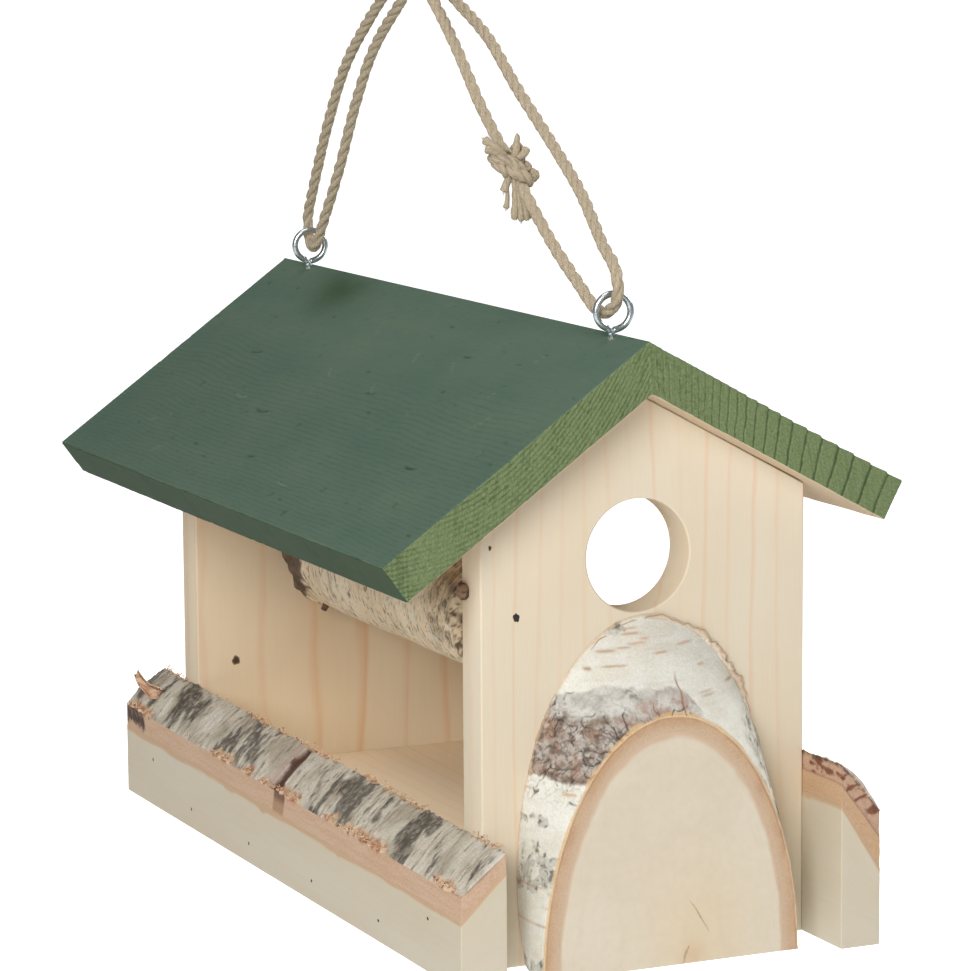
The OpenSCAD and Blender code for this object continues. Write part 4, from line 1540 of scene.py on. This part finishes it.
def rope(mat):
    """The loop of rope, and the line that its middle follows, in metres of the row frame."""
    parts = Parts()
    path = lay_rope(parts, spline(ROUTE, 16), 2.5, 21.0, 0.7, 1.3, 3)
    parts.p = [p - SHIFT for p in parts.p]
    return parts.make("rope_strands", mat, "rope", replaces=("rope",)), path / 1000


def knot(mat):
    """The bend that joins the rope's ends: two turns round the rope, and frayed short ends."""
    centre = np.array([-4.5, -112.0, -79.0])
    yaw = math.radians(-24.4)
    right = np.array([math.cos(yaw), math.sin(yaw), 0])
    up = np.array([0, 0, 1.0])
    deep = np.cross(up, right)

    def at(r, u, d=0.0):
        return centre + r * right + u * up + d * deep

    parts = Parts()

    def strand(points, r0, r1, seed):
        """A short end with a frayed tip. Its radius goes from r0 to r1."""
        path, s = even(spline([at(*p) for p in points], 10), 0.5)
        f = s / s[-1]
        rad = (
            (r0 + (r1 - r0) * f**2)
            * np.sqrt(np.clip(1 - (np.clip(f - 0.88, 0, 1) / 0.14) ** 2, 0.12, 1))
        )
        sides = 12
        a = turn_angles(sides)
        ridges = (
            1 + 0.09 * np.cos(4 * a[None, :] + s[:, None] * 0.9 + seed)
            + 0.05 * np.cos(7 * a[None, :] - s[:, None])
        )
        p, fc = tube(path, rad[:, None] * ridges, sides)
        yarn = xyz(
            np.repeat(s, sides), np.tile(a * 1.2, len(s)) + np.repeat(s, sides) * 0.3, 3.0 * seed
        )
        parts.add(p, fc, yarn=yarn, fibre=0.0)
        t = path[-1] - path[-3]
        t /= np.linalg.norm(t)
        rng = np.random.default_rng(seed)
        for _ in range(9):
            root = path[-1] + rng.normal(0, rad[-1] * 0.45, 3) - 0.6 * t
            d = t + rng.normal(0, 0.28, 3)
            length = rng.uniform(0.6, 1.4)
            side = unit(np.cross(t, rng.normal(size=3)))
            yarn = [[length * 9, 1.0, 2.0]]
            fibre(parts, root, d, side, length, 0.13, 0.2, taper=0.4, yarn=yarn, fibre=0.7)

    def turn(r, u, tilt, wide, depth, lift, seed, sweep, thick):
        """One turn of the rope round the knot, seen from the front as a slanting band.

        r and u place its middle, tilt and sweep are in degrees, and wide, depth and lift are
        its half sizes across and into the knot and its rise.
        """
        a = np.radians(np.arange(sweep[0], sweep[1], 14))
        tilt = math.radians(tilt)
        e1 = np.array([math.cos(tilt), math.sin(tilt)])
        e2 = np.array([-math.sin(tilt), math.cos(tilt)])
        pts = []
        for k, q in enumerate(a):
            g = wide * math.cos(q)
            h = lift * (k / len(a) - 0.5)
            v = e1 * g + e2 * (h + 1.1 * math.sin(q) * 0.6)
            pts.append(at(r + v[0], u + v[1], -depth * math.sin(q)))
        lay_rope(parts, spline(pts, 6), thick, 13, 0.55, 1.0, seed)

    turn(-3.0, 4.6, -6, 5.4, 4.6, 3.2, 41, (0, 400), 2.6)
    turn(2.2, -1.0, -24, 6.0, 5.2, 3.0, 43, (20, 400), 2.75)
    turn(-4.2, 0.8, -38, 3.6, 4.4, 2.2, 47, (0, 400), 2.5)
    turn(0.4, 2.6, -30, 5.0, 4.4, 2.4, 51, (0, 400), 2.5)
    turn(-1.0, 8.0, 20, 3.2, 3.6, 1.6, 49, (150, 420), 2.2)
    # Short ends: upper left, upper right, and the bundle that hangs below
    for k, (r, u) in enumerate(((-12.4, 13.2), (-11.6, 9.4))):
        strand(
            [(-3.5, 6.5, -2.5), (-7.5, 8.5 + 0.6 * (u - 11), -3.5), (r, u, -3.2 - k)],
            1.3,
            2.1,
            60 + k,
        )
    strand([(0.5, 6.0, -3.0), (1.2, 9.5, -4.0), (1.6, 15.2, -3.8)], 1.7, 0.8, 70)
    strand([(2.0, 5.5, -3.0), (4.4, 7.4, -4.2), (5.4, 9.8, -4.2)], 1.6, 2.0, 71)
    for k, (r, u) in enumerate(((0.2, -20.2), (3.0, -20.9), (5.4, -20.6), (8.2, -19.8))):
        strand(
            [(0.2 + 1.5 * k, -3.5, -3.2), (0.6 + 1.7 * k, -11.0, -4.0), (r, u, -4.6 + 0.9 * k)],
            1.25,
            1.75,
            80 + k,
        )
    strand([(-1.8, -3.0, -3.2), (-3.4, -6.2, -4.0), (-4.0, -8.6, -4.0)], 1.5, 2.1, 92)
    strand([(-2.6, -8.4, -3.8), (-2.7, -11.5, -4.2), (-3.2, -15.6, -4.2)], 0.8, 1.6, 91)
    parts.p = [p - SHIFT for p in parts.p]
    return parts.make("rope_knot_turns", mat, "rope", replaces=("rope_knot",))


# ---- build everything ----

place_camera()
bpy.context.scene.view_settings.view_transform = "Standard"

hemp = rope_material()
rope_obj, rope_path = rope(hemp)
knot_obj = knot(hemp)

green = paint_material()
roof_board(-1, green)
roof_board(1, green)

PALE = (0.765, 0.675, 0.530)
gable_wood = wood("spruce_gable", PALE, (0.76, 0.50, 0.32), (150.0, -90.0), 9.0, 14.0, 0.55)
back_wood = wood(
    "spruce_back", (0.77, 0.65, 0.485), (0.70, 0.43, 0.24), (-190.0, -60.0), 10.0, 12.0, 0.85
)
# Painted light: the floor's spruce is much paler than the gables', standing in for light that
# falls on the floor inside. Its warmer grain lines are the wood's own.
floor_wood_painted_light = wood(
    "spruce_floor_painted_light", (0.93, 0.79, 0.615), (0.79, 0.57, 0.365), (20.0, -70.0), 5.0, 14.0, 0.5
)
rail_wood_mat = wood(
    "birch_rail", (0.635, 0.575, 0.46), (0.62, 0.50, 0.34), (0.0, -70.0), 7.0, 20.0, 0.22, 0.55
)

SHOULDER = math.radians(28.5 + 0.2)
gable = [
    (-HALF, 0), (HALF, 0), (HALF, APEX_Z - (HALF - APEX_X) * math.tan(SHOULDER)),
    (APEX_X, APEX_Z), (-HALF, APEX_Z - (HALF + APEX_X) * math.tan(PITCH_L)),
]
flat_board("gable_front_board", gable, [(-3, 163.5, 23.0)], 0, T, gable_wood, ("gable_front",))
flat_board("gable_back_board", gable, [], BACK, BODY, back_wood, ("gable_back",))

dark_knot = tinted("knot_wood", 0.7, (0.8, 0.8, 0.8), 0.4)
knot_spot("gable_knot", (-68.3, 0.0, 171.3), 1.0, dark_knot, (0.8, 1.3))
knot_spot("gable_speck", (-61.0, 0.0, 186.0), 0.4, dark_knot)
knot_spot("back_knot", (-53.5, BACK, 67.8), 2.4, dark_knot, (1.0, 1.1))

slab(
    "floor", [[[[x, y, z] for y in (T, BACK)] for z in (0.0, T)] for x in (-HALF, HALF)],
    (6, 6, 6), 0.5, floor_wood_painted_light, "house", None, None, ("floor_board",),
)

bark = tinted("birch_bark", 0.85, (1.3, 1.3, 1.3), 0.36, 0.0004)
rail_wood("rail_left", *RAIL_LEFT, [[47, 51], [28, 32]], rail_wood_mat, "side_rail_left")
rail_wood("rail_right", *RAIL_RIGHT, [[60, 57], [32, 29]], rail_wood_mat, "side_rail_right")
rail_bark(
    "rail_left_bark", *RAIL_LEFT, [[46.6, 50.6], [27.6, 31.6]], [[54, 58], [38, 42]], bark,
    "side_rail_left_bark", 400,
)
rail_bark(
    "rail_right_bark", *RAIL_RIGHT, [[59.6, 56.6], [31.6, 28.6]], [[77, 74], [56, 53]], bark,
    "side_rail_right_bark", 500,
)
fibre_mat = tinted("torn_fibres", 0.85, (1, 1, 1), 0.3)
y0, y1 = RAIL_LEFT[2:]
for name, edge, way, low, count, seed in (
    ("outer", RAIL_LEFT[1], -1, 39.2, 700, 7),
    ("inner", RAIL_LEFT[0], 1, 54.4, 520, 8),
):
    heights = (low, low + 4)
    rail_frays("frays_left_" + name, edge, way, y0, y1, heights, count, fibre_mat, seed, 400)
y0, y1 = RAIL_RIGHT[2:]
rail_frays("frays_right_outer", RAIL_RIGHT[1], 1, y0, y1, (56.6, 53.6), 600, fibre_mat, 9, 500)
bark_curl("bark_curl", fibre_mat)

slice_mat = tinted("slice_face", 0.6, (0.25, 0.25, 0.25), 0.06, 0.00008)
slice_wood(slice_mat)
paper = tinted("paper_bark", 0.7, (1.1, 1.1, 1.1), 0.22, 0.0003)
slice_bark(paper)
bark_flaps(paper)
face_crack("slice_crack", [(7.5, 26), (10.5, 22), (12.5, 18.5), (16.5, 12.0)], 0.2, dark_knot)
face_crack("slice_foot_crack", [(5.0, 0.2), (5.6, 3.5), (7.4, 7.5)], 0.45, dark_knot)
branch_bark = tinted("branch_bark", 0.85, (1.1, 1.1, 0.6), 0.4, 0.0004)
branch(branch_bark)
branch_stub(branch_bark)
branch_burl(branch_bark)

zinc = metal("zinc", (0.60, 0.66, 0.69), 0.2, 0.10)
steel = metal("steel", (0.42, 0.41, 0.39), 0.45, 0.2)
old_steel = metal("old_steel", (0.08, 0.07, 0.065), 0.6, 0.2)
screw_eye("eye_front", EYE_YS[0], zinc, "screw_eye_front")
screw_eye("eye_back", EYE_YS[1], zinc, "screw_eye_back")
burr("burr_front", EYE_YS[0], fibre_mat)
burr("burr_back", EYE_YS[1], fibre_mat)
rail_spots = ((9, 22), (60, 9), (133, 9), (207, 9), (280, 9), (331, 22))
for way, x, facing in (("left", RAIL_LEFT[1], -1), ("right", RAIL_RIGHT[1], 1)):
    places = [((x, y, z), (facing, 0, 0)) for y, z in rail_spots]
    heads("rail_heads_" + way, places, 0.8, old_steel, "rail_nails_" + way)
branch_spots = [((-57.0, 0.0, 142.5), (0, -1, 0)), ((4.5, BODY, 117.0), (0, 1, 0))]
heads("branch_nail_heads", branch_spots, 1.4, old_steel, "branch_nails", tall=1.5)
for way, y, facing in (("front", 0, -1), ("back", BODY, 1)):
    places = [((x, y, T / 2), (0, facing, 0)) for x in (-42, 42)]
    heads("floor_heads_" + way, places, 1.1, steel, "floor_nails_" + way)
slice_spots = [((x, T, 48), (0, 1, 0)) for x in (-22, 22)]
heads("slice_screw_heads", slice_spots, 3.7, steel, "slice_screws", cross=True)
for node in ("roof_nails_front", "roof_nails_back"):
    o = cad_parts[node]
    o.data.materials.clear()
    o.data.materials.append(green)

# Studio: a pale floor under the hanging house, a white surround and soft lamps
floor_mesh = bpy.data.meshes.new("studio_floor")
floor_mesh.from_pydata(
    [(-30, -30, -0.6), (30, -30, -0.6), (30, 30, -0.6), (-30, 30, -0.6)], [], [(0, 1, 2, 3)]
)
studio = bpy.data.objects.new("studio_floor", floor_mesh)
bpy.context.scene.collection.objects.link(studio)
s = Shader("studio_white", 0.9, spec=0.1)
seen = s.node("LightPath").outputs["Is Camera Ray"]
s.main.inputs["Emission Color"].default_value = (1, 1, 1, 1)
s.put(s.main.inputs["Emission Strength"], s.maths("MULTIPLY_ADD", seen, 0.90, 0.10))
studio.data.materials.append(s.finish((0.85, 0.85, 0.85)))

world = bpy.data.worlds.new("studio")
bpy.context.scene.world = world
world.use_nodes = True
backdrop = world.node_tree.nodes["Background"]
backdrop.inputs["Color"].default_value = (1.0, 1.0, 1.0, 1)
camera_ray = world.node_tree.nodes.new("ShaderNodeLightPath").outputs["Is Camera Ray"]
level = world.node_tree.nodes.new("ShaderNodeMath")
level.operation = "MULTIPLY_ADD"
level.inputs[1].default_value = 0.8
level.inputs[2].default_value = 0.23
world.node_tree.links.new(camera_ray, level.inputs[0])
world.node_tree.links.new(level.outputs[0], backdrop.inputs["Strength"])
area_light("key", (-1.28, -1.60, 0.55), (0, 0, -0.28), 1.2, 33)
area_light("top", (-0.5, -0.2, 1.9), (0, 0, -0.28), 1.2, 11)
area_light("right", (1.6, 0.1, 0.70), (0, 0, -0.33), 1.0, 22)
